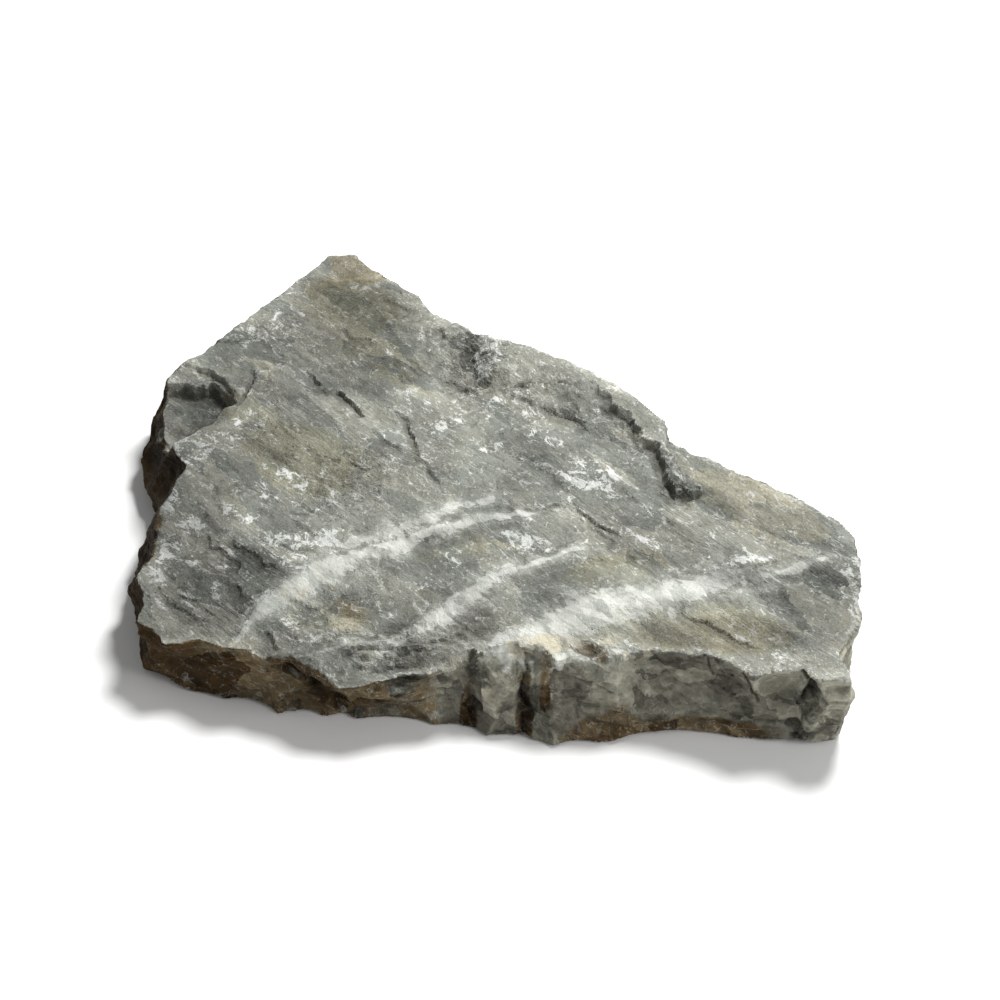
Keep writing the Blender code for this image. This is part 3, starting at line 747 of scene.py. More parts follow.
def roughen(mesh):
    points, normals = positions(mesh), facings(mesh)
    ledge = np.flatnonzero((normals[:, 2] > LEDGE_LOW) & (normals[:, 2] < LEDGE_HIGH))
    x, y = points[ledge, 0], points[ledge, 1]
    coarse, _ = facets(points[ledge], (7, 7, 6), 160)
    fine, _ = facets(points[ledge], (3.2, 3.2, 3), 170)
    out = 1.3 * (coarse - coarse.mean()) + 0.6 * (fine - fine.mean())
    notch_x, notch_y, radius = NOTCH
    notch = smooth(3.0 * bowl(x - notch_x, y - notch_y, radius, radius, 0.0))
    clean = smooth((x - CLEAN_X) / 20.0) * smooth((CLEAN_Y - y) / 8.0)
    share = smooth((LEDGE_HIGH - normals[ledge, 2]) / 0.25)
    share = share * (1.0 - 0.8 * notch) * (1.0 - 0.6 * clean)
    points[ledge] += normals[ledge] * (out * share)[:, None]
    points[:, 2] = np.maximum(points[:, 2], 0.0)
    put_back(mesh, points)
    print("points roughened:", len(ledge))


roughen(skin)

# %% [markdown]
# ## Crevices of the front
# The front broke across the beds, and a few dark crevices and narrow shelves run over it. They can't
# be heights over the plan, so they are drawn as lines on the face itself, seen from the front, and cut
# straight back into it. The same lines are later darkened with painted shade.

# %% Cut the crevices
# Crevices: the line in x and z, half its width, how deep it cuts, and how much painted shade darkens
# it.
CREVICES = [
    ([(-115, 31), (-107, 29), (-100, 23), (-94, 16), (-88, 11), (-80, 6)], 6.5, 6.0, 0.55),
    ([(-13, 46), (-16, 30), (-15, 16), (-16, 4)], 4.0, 3.0, 0.4),
    ([(15, 42), (12, 28), (10, 18), (13, 4)], 2.6, 4.0, 0.8),
    ([(22, 50), (26, 40), (27, 30)], 4.0, 2.0, 0.2),
    ([(106, 50), (109, 45), (111, 39)], 1.6, 1.6, 0.7),
    ([(127, 46), (132, 39), (136, 28)], 2.0, 3.0, 0.9),
    ([(144, 53), (152, 53), (161, 55)], 1.8, 2.0, 0.8),
    ([(155, 57), (163, 48), (163, 40), (161, 28)], 3.4, 5.0, 1.0),
    ([(161, 36), (171, 37), (186, 38)], 2.0, 1.6, 0.6),
    ([(163, 25), (171, 21), (184, 19)], 2.0, 1.6, 0.7),
    ([(34, 20), (53, 16), (80, 10), (107, 6)], 2.4, 1.4, 0.5),
    ([(32, 33), (48, 32), (64, 27)], 1.4, 1.0, 0.4),
    ([(120, 16), (134, 13), (160, 16)], 2.0, 1.2, 0.4),
]
FRONT, FRONT_FADE = -116.0, 6.0  # the front face lies before this y
# How far the lines stray, the length of their wiggles, and the seeds for x and z.
STRAYING = ((2.0, 9, 180, 181), (0.9, 3.5, 182, 183))


def front_lines(x, y, z):
    """How deep the crevices cut at each point, and how much painted shade darkens them there."""
    spot = np.stack([x, y, z], axis=1)
    for stray, length, seed_x, seed_z in STRAYING:
        x = x + stray * swell(spot, (length, length, length), seed_x)
        z = z + stray * swell(spot, (length, length, length), seed_z)
    uneven = 1.0 + 0.5 * swell(spot, (8, 8, 8), 184)
    cut, line_shade = np.zeros(len(x)), np.zeros(len(x))
    for path, half, depth, shade_strength in CREVICES:
        away, _, _ = beside(x, z, path)
        away = away / (half * uneven)
        cut = np.maximum(cut, depth * smooth(1.0 - away) * uneven)
        line_shade = np.maximum(line_shade, shade_strength * smooth(1.2 - 1.2 * away) * np.minimum(uneven, 1.0))
    front = smooth((FRONT - y) / FRONT_FADE)
    return cut * front, line_shade * front


def cut_crevices(mesh):
    points, normals = positions(mesh), facings(mesh)
    x, y, z = points[:, 0] + CENTRE[0], points[:, 1] + CENTRE[1], points[:, 2]
    cut, _ = front_lines(x, y, z)
    upright = smooth((UPRIGHT - normals[:, 2]) / UPRIGHT_FADE)
    upright = upright * smooth((normals[:, 2] + 0.75) / UPRIGHT_FADE)
    points[:, 1] += cut * upright
    put_back(mesh, points)
    print("crevices cut up to", round(float((cut * upright).max()), 1), "mm deep")


cut_crevices(skin)

# %% [markdown]
# ## Thin the skin
# Four hundred thousand triangles are more than the shape needs. Decimate takes them away where the
# stone is flat and leaves them at ledges and scars, which is where the eye goes.

# %% Decimate
STANDS_FLAT = 0.3  # points of the underside lower than this lie on the ground


def triangles_in(mesh):
    return len(mesh.loops) - 2 * len(mesh.polygons)


def thin(thing, wanted):
    before = triangles_in(thing.data)
    fewer = thing.modifiers.new("Thin", "DECIMATE")
    fewer.ratio = min(1.0, wanted / before)
    settle(thing)
    print(before, "triangles thinned to", triangles_in(thing.data))


thin(slab, TRIANGLES)
skin = slab.data
points = positions(skin)
points[:, 2] = np.where(points[:, 2] < STANDS_FLAT, 0.0, points[:, 2])
put_back(skin, points)

# %% [markdown]
# ## What the finish needs to know
# A material can't see the ledges or the seams by itself, so each point of the mesh carries a few
# numbers for it: how steep the stone is there, whether it is a ridge or a hollow, how near a seam
# lies, and where the stains and the bruised white flecks are. The edges of all of these are broken
# up later by noise in the material, which is much finer than the mesh.

# %% Blur over the mesh
def blur(mesh, values, rounds):
    """Average each point with its neighbours, some times over."""
    ends = np.empty(len(mesh.edges) * 2, dtype=np.int32)
    mesh.edges.foreach_get("vertices", ends)
    first, second = ends[0::2], ends[1::2]
    size = len(values)
    share = 1.0 + np.bincount(first, minlength=size) + np.bincount(second, minlength=size)
    values = values.copy()
    for _ in range(rounds):
        for column in range(values.shape[1]):
            own = values[:, column]
            near = np.bincount(first, weights=own[second], minlength=size)
            near += np.bincount(second, weights=own[first], minlength=size)
            values[:, column] = (own + near) / share
    return values


def note(mesh, name, values):
    """Store one number for each point, under a name the material can read."""
    mesh.attributes.new(name, "FLOAT", "POINT").data.foreach_set("value", values.astype(np.float32))
    print(name, "from", values.min().round(2), "to", values.max().round(2))


print("a blur averages each of", len(skin.vertices), "points with its neighbours")

# %% Steepness, ridges and hollows
points = positions(skin)
normals = facings(skin)
facing = blur(skin, normals, 6)
facing /= np.linalg.norm(facing, axis=1)[:, None]
height = points[:, 2]
plan_x, plan_y = points[:, 0] + CENTRE[0], points[:, 1] + CENTRE[1]
rough_x, rough_y = ragged(plan_x, plan_y)
RIM = [(row[0], row[1]) for row in EDGE]
steep = 1.0 - smooth((facing[:, 2] - 0.30) / 0.45)
steep = np.maximum(steep, smooth((-2.0 - inside(plan_x, plan_y, RIM)) / 4.0))
level = 1.0 - steep
note(skin, "wall", steep)
ridge_height = np.sum((points - blur(skin, points, 4)) * normals, axis=1)
note(skin, "ridge", np.clip(ridge_height / 0.30, -1, 1))
swelling_height = np.sum((points - blur(skin, points, 40)) * facing, axis=1)
note(skin, "swelling", np.clip(swelling_height / 1.2, -1, 1))

# %% The white seams
# White calcite: the line with half its width at each point, and how solidly white it is.
WHITE = [
    ([(-145, -129, 4), (-134, -111, 4), (-121, -97, 7), (-104, -82, 11), (-91, -71, 10),
     (-75, -65, 9), (-55, -58, 7), (-45, -53, 5), (-28, -46, 5), (-11, -41, 4),
     (18, -37, 3)], 1.0),
    ([(-86, -56, 4), (-56, -47, 5), (-34, -33, 5), (-22, -28, 4), (-4, -25, 3)], 0.62),
    ([(-96, -135, 3), (-73, -125, 3), (-62, -129, 3)], 0.5),
    ([(-64, -131, 4), (-38, -113, 6), (-22, -99, 7), (-2, -85, 6), (22, -73, 4),
     (46, -65, 2)], 0.85),
    ([(2, -133, 9), (14, -129, 11), (28, -122, 14), (42, -114, 16), (56, -108, 16),
     (70, -106, 16), (81, -105, 15), (97, -100, 13), (106, -97, 11), (126, -90, 8)], 1.05),
    ([(136, -92, 4), (152, -87, 6), (174, -79, 4)], 0.55),
    ([(10, -130, 8), (2, -138, 7), (-4, -146, 6)], 0.7),
    ([(24, -132, 8), (31, -140, 6), (33, -148, 4)], 0.65),
    ([(30, -132, 6), (44, -133, 5), (60, -134, 3)], 0.35),
]
SEAM_FOOT, SEAM_FADE = 46.0, 14.0  # the seams fade out this far down the sides


def whiteness(x, y):
    """Nearness to the white seams: one on the line, nothing at its edge, below zero outside."""
    near = np.full(len(x), -2.0)
    for path, solid in WHITE:
        for (ax, ay, wide), (bx, by, wider) in zip(path, path[1:]):
            length = math.hypot(bx - ax, by - ay)
            along = np.clip(((x - ax) * (bx - ax) + (y - ay) * (by - ay)) / length ** 2, 0.0, 1.0)
            gap = np.hypot(x - ax - along * (bx - ax), y - ay - along * (by - ay))
            near = np.maximum(near, solid * (1.0 - gap / (wide + (wider - wide) * along)))
    return near


seam = whiteness(0.4 * plan_x + 0.6 * rough_x, 0.4 * plan_y + 0.6 * rough_y)
# Only at the nose, where the big seam comes out at the front, do they run on down the face.
nose = smooth(1.6 * bowl(plan_x - 14.0, height - 44.0, 30.0, 32.0, 0.0))
note(skin, "seam", seam - 1.5 * steep * smooth((SEAM_FOOT - height) / SEAM_FADE) * (1.0 - nose))

# %% Stains
# Patches: x, y, half length, half width, turn in degrees, strength.
OLIVE = [
    (-114, 14, 62, 44, -46, 1.0), (-70, 96, 60, 26, -46, 0.8), (-92, 148, 60, 36, -40, 0.9),
    (-20, -62, 60, 18, 10, 0.7), (60, -82, 50, 20, 8, 0.8), (-95, -104, 40, 24, 0, 0.8),
    (106, -124, 84, 28, -10, 1.0), (-150, 60, 40, 20, -46, 0.6),
]
TAN = [
    (146, -38, 74, 28, -34, 1.0), (96, -127, 84, 24, -6, 1.1), (-94, 172, 44, 30, 20, 0.6),
    (-146, 96, 26, 14, -46, 0.7), (-100, -92, 26, 14, 30, 0.5), (-80, -112, 26, 10, 10, 0.35),
    (74, 24, 26, 8, -40, 0.5),
]
OCHRE = [
    (-88, 186, 34, 22, -40, 1.4), (-108, 172, 26, 14, 10, 0.7), (26, -134, 20, 10, 0, 0.9),
    (10, -133, 10, 8, 0, 0.8), (-140, -128, 18, 8, 0, 0.7), (-112, -92, 18, 9, 30, 0.5),
    (52, -131, 24, 7, -4, 0.8), (100, -94, 22, 8, 0, 0.4),
]
# Where the split shows as fine dark lines, and where the skin is gritty.
LINED = [
    (-160, -103, 44, 20, -30, 1.0), (-140, -64, 34, 30, -46, 0.9), (116, -124, 60, 22, -20, 0.35),
    (104, -44, 60, 22, -40, 0.5), (178, -80, 26, 30, -40, 0.8), (-110, 40, 50, 30, -46, 0.4),
    (30, -20, 50, 20, -46, 0.4),
]
GRITTY = [
    (-86, -4, 40, 40, -46, 1.0), (-130, 30, 40, 26, -46, 0.7), (-60, -124, 80, 22, 4, 0.6),
    (-14, 84, 30, 34, -20, 0.6), (60, 30, 40, 12, -34, 0.6), (100, -26, 18, 12, -30, 1.0),
    (-90, -100, 40, 22, 0, 0.8),
]


def patches(x, y, ovals, crisp=1.7):
    """The strongest of the patches over each point; a crisp patch has a flat middle and a short rim."""
    total = np.zeros(len(x))
    for px, py, half_length, half_width, turn, strength in ovals:
        rim = bowl(x - px, y - py, half_length, half_width, turn)
        patch = strength * smooth(crisp * rim)
        total = np.where(np.abs(patch) > np.abs(total), patch, total)
    return total


stains = {"olive": OLIVE, "tan": TAN, "ochre": OCHRE, "lined": LINED, "grit": GRITTY}
for name, ovals in stains.items():
    note(skin, name, patches(plan_x, plan_y, ovals))

# %% Bruises, sockets and umber spots
BRUISED = [
    (-178, 27, 18, 24, 0, 0.9), (-188, -12, 10, 26, 0, 1.0), (-8, 86, 16, 20, 0, 1.2),
    (-2, 54, 12, 5, 0, 1.2), (-165, 37, 24, 8, -10, 1.0), (-150, 52, 14, 9, 20, 0.9),
    (-177, -34, 16, 9, 0, 0.9), (-148, -28, 18, 9, -40, 1.0), (-134, -10, 16, 7, -46, 0.8),
    (-117, -66, 22, 11, -40, 0.85), (-108, -52, 44, 12, 0, 1.15), (-132, -97, 26, 7, 38, 1.1),
    (-116, -112, 18, 8, -20, 0.9), (-105, -122, 16, 8, -20, 0.7), (-118, -2, 18, 8, -46, 0.8),
    (-38, 36, 16, 8, -30, 0.9), (-5, 18, 11, 6, 10, 1.1), (-28, 44, 16, 9, 50, 0.9),
    (10, 57, 12, 5, 0, 1.0), (23, 4, 14, 8, -30, 0.9), (52, -8, 26, 20, -40, 1.1),
    (14, -57, 20, 10, -20, 1.1), (76, -56, 30, 8, -38, 0.9), (124, -80, 32, 6, 12, 1.0),
    (8, 100, 30, 16, 0, 1.2), (48, 80, 36, 12, -40, 1.2), (96, 30, 20, 12, -40, 0.6),
    (190, -100, 12, 40, 0, 0.9), (150, -146, 18, 7, -10, 0.5), (-140, 128, 34, 24, 30, 0.7),
    (-92, 164, 20, 8, 0, 0.7), (-30, -80, 24, 8, 30, 0.7), (-10, -126, 26, 10, 0, 0.6),
    (-186, -60, 10, 30, 0, 1.0), (-160, -74, 50, 46, 0, 0.35), (20, 34, 40, 20, -46, 0.5),
    (150, -60, 40, 16, -30, 0.35),
]
UMBER = [
    (48, -137, 18, 6, -30, 0.8), (24, -141, 6, 10, 0, 0.7), (-96, -86, 12, 5, -30, 0.6),
    (-82, -100, 20, 9, -40, 0.6),
]
weathered = smooth((plan_y + 20.0) / 60.0)  # the sides at the back have lost their bruises
note(skin, "bruise", patches(rough_x, rough_y, BRUISED) * (1.0 - steep * weathered))
note(skin, "socket", patches(rough_x, rough_y, SOCKETS))
note(skin, "umber", patches(rough_x, rough_y, UMBER))

# %% Painted light and shade, and broad tone
# Broad tone of the top, partly the stone's own and partly painted light and shade where it faces
# towards or away from the lamps: the same measures, with a strength below zero where it is darker.
TOP_TONE_AND_SHADE = [
    (-132, 96, 80, 50, -30, -0.9), (-180, 66, 40, 40, 0, -1.2), (-108, 120, 54, 32, -40, -1.25),
    (-156, -80, 60, 60, 0, -1.3), (-92, -148, 50, 10, 0, -0.5), (172, -104, 42, 34, 0, -1.15),
    (18, 14, 40, 18, -46, -0.8), (118, -130, 74, 20, -6, -1.25), (146, -38, 74, 28, -34, -0.6),
    (-92, 188, 34, 20, 0, -0.8), (104, -18, 20, 14, -30, -0.8), (84, 6, 30, 10, -50, -0.2),
    (-40, -108, 60, 22, 10, -0.5), (-70, -134, 90, 16, 4, -0.7), (188, -48, 34, 30, 0, 0.3),
    (178, -122, 36, 34, 0, -0.9), (-17, 86, 20, 32, 0, -0.6), (-88, 146, 66, 38, -40, -1.3),
    (-70, 100, 56, 32, -46, -0.95), (-42, 16, 26, 70, 0, -0.6), (8, -22, 44, 28, 0, -0.5),
    (-84, 82, 40, 22, -40, -1.1), (-140, 22, 36, 40, -20, -0.75), (-30, -54, 30, 12, 10, -0.8),
    (52, -48, 22, 14, 0, -0.8), (36, -92, 34, 20, 20, -0.8), (-50, -70, 30, 16, 0, -0.5),
    (-26, -76, 30, 14, 30, -0.4), (130, -90, 36, 14, 0, -1.0), (80, -60, 56, 28, -20, -0.8),
    (-165, 24, 40, 34, 0, -0.8), (-122, -120, 40, 18, 0, -0.8), (-182, -108, 34, 14, -20, -1.0),
    (-14, -116, 22, 20, 0, -1.2), (92, -112, 24, 10, 0, -0.7), (-36, -96, 30, 16, 30, -0.6),
    (-176, -24, 44, 60, 0, -1.2), (20, 40, 30, 60, 45, -0.3), (-112, 60, 60, 30, -46, -0.5),
    (-90, 20, 60, 40, -46, -0.3), (56, 72, 60, 24, -36, 0.35), (-2, -146, 16, 16, 0, 0.9),
    (50, -150, 30, 12, 0, 0.7), (136, -160, 24, 12, 0, 0.4), (172, -166, 16, 10, 0, 0.4),
]
# Painted light and shade for the front face: darker under the rim and where it faces down or away from
# the lamps, lighter where it faces up. The same measures, as seen from the front: x, z, half length,
# half height, turn.
FRONT_LIGHT_AND_SHADE = [
    (98, 46, 32, 6, 2, -0.7), (80, 32, 13, 12, 0, -0.35), (103, 27, 17, 5, -55, 0.6),
    (90, 18, 22, 5, -20, 0.5), (119, 36, 9, 6, 0, -0.9), (131, 21, 7, 18, 6, -0.7),
    (147, 36, 15, 16, 0, -0.2), (150, 10, 14, 7, 0, -0.4), (162, 38, 5, 13, 0, -1.1),
    (175, 45, 14, 6, 0, 0.7), (173, 33, 13, 4, 6, -0.5), (172, 24, 13, 6, 0, -0.1),
    (172, 10, 20, 9, 0, -1.1), (76, 5, 60, 7, 0, 0.6), (122, 7, 22, 6, 0, 0.8),
    (-15, 22, 6, 34, 0, -0.4), (-52, 30, 14, 8, 0, -0.5), (11, 20, 5, 30, 0, -0.4),
    (26, 34, 7, 16, 0, 0.5), (28, 16, 9, 12, 0, 0.9), (-3, 30, 10, 20, 0, 0.7),
    (38, 40, 10, 12, 20, 0.9), (52, 36, 18, 12, 0, 0.8), (56, 22, 30, 9, -6, 0.2),
    (-45, 16, 26, 20, 0, 0.15), (-112, 6, 14, 8, 0, -0.7), (-70, 20, 16, 10, 10, 0.8),
    (-130, 20, 26, 12, -20, 0.25), (-172, 12, 14, 10, 0, 0.4), (-152, 30, 10, 8, 0, 0.6),
    (-96, 16, 12, 7, -50, -1.0), (-76, 6, 14, 6, -20, 0.5),
]
CRISP = 5.0  # the front broke in flat planes, so its patches have short rims
chip_tone = broken(np.stack([plan_x, plan_y, height], axis=1))[1]
front_x, front_z = plan_x + 9.0 * chip_tone, height + 6.0 * np.sin(7.0 * chip_tone)
front_light_and_shade = patches(front_x, front_z, FRONT_LIGHT_AND_SHADE, CRISP) * smooth((FRONT - plan_y) / FRONT_FADE)
# Painted shade: the far left side, which faces away from the lamps, is darkened.
left_shade = 1.2 * smooth((-150.0 - plan_x) / 40.0) * smooth((plan_y + 110.0) / 10.0)
side_light_and_shade = steep * (1.6 * front_light_and_shade - left_shade)
# The shade noted here is the top's broad tone with painted light and shade, and the sides' painted
# light and shade.
note(skin, "shade", level * patches(plan_x, plan_y, TOP_TONE_AND_SHADE) + side_light_and_shade)
note(skin, "facet", steep * chip_tone + level * 0.6 * splinters(plan_x, plan_y)[1])

# %% Painted shade in cracks and crevices
# Painted shade at the feet of the ledges.
foot_shade = broken_steps(rough_x, rough_y, STEPS + small_ledges())[1]
# Painted shade in the crevices of the front.
crevice = steep * front_lines(plan_x, plan_y, height)[1]
note(skin, "crack_shade", np.maximum(level * foot_shade, crevice))

# %% [markdown]
# ## Weathered brown sides
# The left and the front left were an old joint face in the ground, and are stained dark brown; the far
# left is darker still, partly stain and partly painted shade of the side that faces away from the
# lamps.
# The back is half as brown. On the right the break is fresh, and only a thin band along its foot is
# brown.

# %% Where the sides are brown
BROWNED = [
    (-17, -148, 8, 16, 0, 0.9), (13, -152, 7, 16, 0, 0.9), (24, -147, 5, 7, 0, 0.8),
    (-60, -148, 50, 20, 0, 0.45), (62, -158, 40, 10, 0, 0.5),
]
old_face = smooth((-5.0 - plan_x) / 110.0)
right_foot = smooth(1.6 * bowl(plan_x - 88, plan_y + 152, 90, 50, 0))
foot_band = smooth((15.0 - height) / 9.0) * right_foot * 0.8
behind = 0.55 * smooth((plan_y + 70.0) / 170.0)
# Extra brown on the far left: partly deep stain, partly painted shade of the side that faces away from
# the lamps.
far_left = 0.8 * smooth((-150.0 - plan_x) / 40.0)
stain = np.maximum(np.maximum(old_face, behind), foot_band) + far_left
note(skin, "brown", steep * np.maximum(stain, patches(plan_x, plan_y, BROWNED)))

# %% [markdown]
# ## Writing a material as sums
# Nodes joined one at a time are hard to read. Here a small class wraps a socket and lets Python's own
# signs add the Math nodes, so a mask can be written as `1 - wall * 0.5`. Anything else, from a noise
# to a ramp, comes from one method that takes the node's type, its settings and its sockets.

# %% A socket that can be added up
class Field:
    """A socket of numbers that can stand in a sum."""

    def __init__(self, finish, socket):
        self.finish = finish
        self.socket = socket

    def work(self, operation, *others):
        node = self.finish.node("ShaderNodeMath", {"operation": operation}, {0: self})
        for index, other in enumerate(others, 1):
            self.finish.join(other, node.inputs[index])
        return Field(self.finish, node.outputs[0])

    def __add__(self, other):
        return self.work("ADD", other)

    def __mul__(self, other):
        return self.work("MULTIPLY", other)

    def __sub__(self, other):
        return self.work("SUBTRACT", other)

    def __rsub__(self, other):
        return (self * -1.0) + other

    __radd__ = __add__
    __rmul__ = __mul__

    def most(self, other):
        return self.work("MAXIMUM", other)

    def between(self, low, high):
        """Nothing at `low`, one at `high`, smooth in between."""
        settings = {"interpolation_type": "SMOOTHSTEP"}
        node = self.finish.node("ShaderNodeMapRange", settings, {0: self, 1: low, 2: high})
        return Field(self.finish, node.outputs[0])


# %% A material under construction
class Finish:
    """A material, and the few kinds of node that it is made from."""

    def __init__(self, name):
        self.material = bpy.data.materials.new(name)
        self.material.use_nodes = True
        self.tree = self.material.node_tree
        self.shader = self.tree.nodes["Principled BSDF"]

    def join(self, value, socket):
        if isinstance(value, Field):
            self.tree.links.new(value.socket, socket)
        else:
            socket.default_value = value

    def node(self, kind, settings=None, sockets=None):
        node = self.tree.nodes.new(kind)
        for key, value in (settings or {}).items():
            setattr(node, key, value)
        for key, value in (sockets or {}).items():
            self.join(value, node.inputs[key])
        return node

    def field(self, output, kind, settings=None, sockets=None):
        """One output of a new node, ready to stand in a sum."""
        return Field(self, self.node(kind, settings, sockets).outputs[output])

    def noise(self, place, size, detail=3.0, rough=0.55, warp=0.0):
        """Noise from 0 to 1, its lumps `size` millimetres across."""
        sockets = {"Vector": place, "Scale": 1.0 / (size * MM), "Detail": detail}
        sockets.update({"Roughness": rough, "Distortion": warp})
        return self.field(0, "ShaderNodeTexNoise", None, sockets)

    def creased(self, place, size):
        """Noise with sharp creases, about 0 to 1."""
        sockets = {"Vector": place, "Scale": 1.0 / (size * MM), "Detail": 3.5, "Roughness": 0.6}
        settings = {"noise_type": "RIDGED_MULTIFRACTAL", "normalize": True}
        return self.field(0, "ShaderNodeTexNoise", settings, sockets)

    def warped(self, place, size, amount):
        """The same place pushed about by a noise, by up to half of `amount` millimetres."""
        sockets = {"Vector": place, "Scale": 1.0 / (size * MM), "Detail": 2.5}
        push = self.field("Color", "ShaderNodeTexNoise", None, sockets)
        sockets = {0: push, 1: (amount * MM,) * 3, 2: place}
        return self.field(0, "ShaderNodeVectorMath", {"operation": "MULTIPLY_ADD"}, sockets)

    def plates(self, place, size):
        """Flat plates packed side by side: a random tone for each, and the distance to its edge."""
        sockets = {"Vector": place, "Scale": 1.0 / (size * MM)}
        tone = self.field("Color", "ShaderNodeTexVoronoi", {"feature": "F1"}, sockets)
        settings = {"feature": "DISTANCE_TO_EDGE"}
        rim = self.field("Distance", "ShaderNodeTexVoronoi", settings, sockets)
        return tone, rim * size

    def noted(self, name):
        """A number that the mesh carries."""
        return self.field("Fac", "ShaderNodeAttribute", {"attribute_name": name})

    def mapped(self, vector, turn=0.0, stretch=(1.0, 1.0, 1.0)):
        """A place turned about the upright, or stretched."""
        sockets = {"Vector": vector, "Rotation": (0.0, 0.0, turn), "Scale": stretch}
        return self.field(0, "ShaderNodeMapping", {"vector_type": "POINT"}, sockets)

    def mix(self, share, first, second):
        """Blend two colours."""
        sockets = {0: share, 6: first, 7: second}
        return self.field(2, "ShaderNodeMix", {"data_type": "RGBA"}, sockets)

    def scaled(self, colour, share):
        """A colour made lighter or darker by a number."""
        sockets = {0: colour, "Scale": share}
        return self.field(0, "ShaderNodeVectorMath", {"operation": "SCALE"}, sockets)


def ink(red, green, blue):
    """A colour as the screen shows it, 0 to 255, turned into light."""
    shares = (c / 255.0 for c in (red, green, blue))
    return tuple(s / 12.92 if s < 0.04045 else ((s + 0.055) / 1.055) ** 2.4 for s in shares) + (1.0,)


print("mid grey as light:", [round(c, 3) for c in ink(150, 150, 142)])

# %% [markdown]
# ## The stone's finish
# Grey marble with a slaty split is never one grey: it runs from blue-grey to olive along the
# cleavage, with tan and ochre iron stains. One material does all of it, in coats laid one over another
# by masks, as a painter would. Noise alone looks cloudy, so Voronoi plates, pulled out along the
# cleavage, give the greys the hard edges of thin sheets.

# %% Places for the patterns
marble = Finish("riven_marble")
place = marble.field("Object", "ShaderNodeTexCoord")
turned = marble.mapped(place, turn=-SPLIT_ANGLE)
streaky = marble.mapped(turned, stretch=(0.35, 1.0, 0.8))
hairy = marble.mapped(turned, stretch=(0.07, 1.0, 0.5))
bedded = marble.mapped(place, stretch=(0.2, 0.2, 1.0))
names = ("wall", "ridge", "swelling", "seam", "bruise", "brown", "lined", "grit", "crack_shade")
wall, ridge, swelling, seam, bruise, brown, lined, grit, crack_shade = map(marble.noted, names)
top_only = 1.0 - wall
print("patterns run at", round(math.degrees(SPLIT_ANGLE)), "degrees")

# %% The patterns themselves
broad = marble.noise(place, 40.0, 3.0, 0.5, 0.3)
streaks = marble.noise(streaky, 5.0, 3.0, 0.70, 0.3)
grains = marble.noise(place, 1.3, 1.0, 0.8)
mottle = marble.noise(place, 12.0, 4.5, 0.68, 0.4)
crumbs = marble.noise(place, 2.4, 2.0, 0.7, 0.3)
lines = marble.noise(hairy, 1.7, 1.5, 0.7)
creases = marble.creased(place, 8.0)
layers = marble.noise(bedded, 3.0, 2.0, 0.6, 0.3)
fill = marble.noise(place, 9.0, 2.0, 0.55, 0.8)
crust = marble.noise(marble.mapped(turned, stretch=(0.7, 1.0, 1.0)), 7.5, 5.0, 0.72, 0.5)
shaken = marble.warped(streaky, 8.0, 11.0)
plate, plate_edge = marble.plates(shaken, 15.0)
scale, scale_edge = marble.plates(shaken, 5.0)
print("nodes for the patterns:", len(marble.tree.nodes))

# %% Greys and stains of the split face
BLUE_GREY = ink(131, 134, 126)
MID_GREY = ink(142, 142, 132)
PALE_GREY = ink(182, 182, 172)
DEEP_GREY = ink(92, 93, 86)
OLIVE_GREY = ink(144, 141, 118)
SAND = ink(186, 180, 156)
RUST = ink(150, 140, 112)
# Dark for the pits, and for the painted shade in hollows and cracks.
PIT_AND_SHADE_DARK = ink(60, 57, 46)
SOCKET_GREY = ink(84, 85, 80)

colour = marble.mix((broad * 0.6 + plate * 0.4).between(0.38, 0.56), BLUE_GREY, MID_GREY)
light = (mottle * 0.65 + streaks * 0.35).between(0.515, 0.550)
colour = marble.mix(light * 0.11, colour, PALE_GREY)
deep = 1.0 - (mottle * 0.50 + streaks * 0.35 + grains * 0.15)
colour = marble.mix(deep.between(0.515, 0.550) * (grit * 0.25 + 0.12), colour, DEEP_GREY)
olive = (marble.noted("olive") + (mottle - 0.5) * 2.0 + (plate - 0.5) * 0.8).between(0.35, 0.85)
colour = marble.mix(olive * 0.6, colour, OLIVE_GREY)
tan = (marble.noted("tan") + (streaks - 0.5) * 2.0 + (plate - 0.5) * 0.8).between(0.40, 0.90)
colour = marble.mix(tan * 0.5, colour, SAND)
ochre = (marble.noted("ochre") + (mottle - 0.5) * 1.8).between(0.35, 0.85)
colour = marble.mix(ochre * 0.5, colour, RUST)
# Painted shade: the sockets along the sheet's foot are darkened to a deeper grey.
socket = marble.noted("socket") + (crumbs - 0.5) * 1.2 + (mottle - 0.5) * 1.5
colour = marble.mix(socket.between(0.46, 0.53) * 0.70, colour, SOCKET_GREY)
print("greys and stains laid")

# %% Dark hairlines and pits
dark_lines = (1.0 - lines).between(0.57, 0.62) * (lined * 0.85 + 0.15)
colour = marble.mix(dark_lines * 0.34, colour, DEEP_GREY)
pits = (1.0 - crumbs + grit * 0.05).between(0.685, 0.720)
colour = marble.mix(pits * 0.5, colour, PIT_AND_SHADE_DARK)
print("hairlines and pits laid")

# %% [markdown]
# ## The broken sides
# A fresh break across the beds is duller and darker than the split face. Where water stood in an old
# joint, iron has stained it brown; on the far left it is darker still, partly stain and partly painted
# shade of the side that faces away from the lamps. The stain is laid over the break in the same
# material, because two materials could only meet along the mesh's own edges.

# %% Darker broken sides
FRESH_BREAK = ink(134, 132, 118)
BREAK_SHADE = ink(114, 111, 98)
BROWN = ink(98, 84, 60)
DARK_BROWN = ink(62, 42, 12)

side = (layers * 0.25 + plate * 0.45 + broad * 0.3).between(0.40, 0.60)
colour = marble.mix(wall * 0.90, colour, marble.mix(side, BREAK_SHADE, FRESH_BREAK))
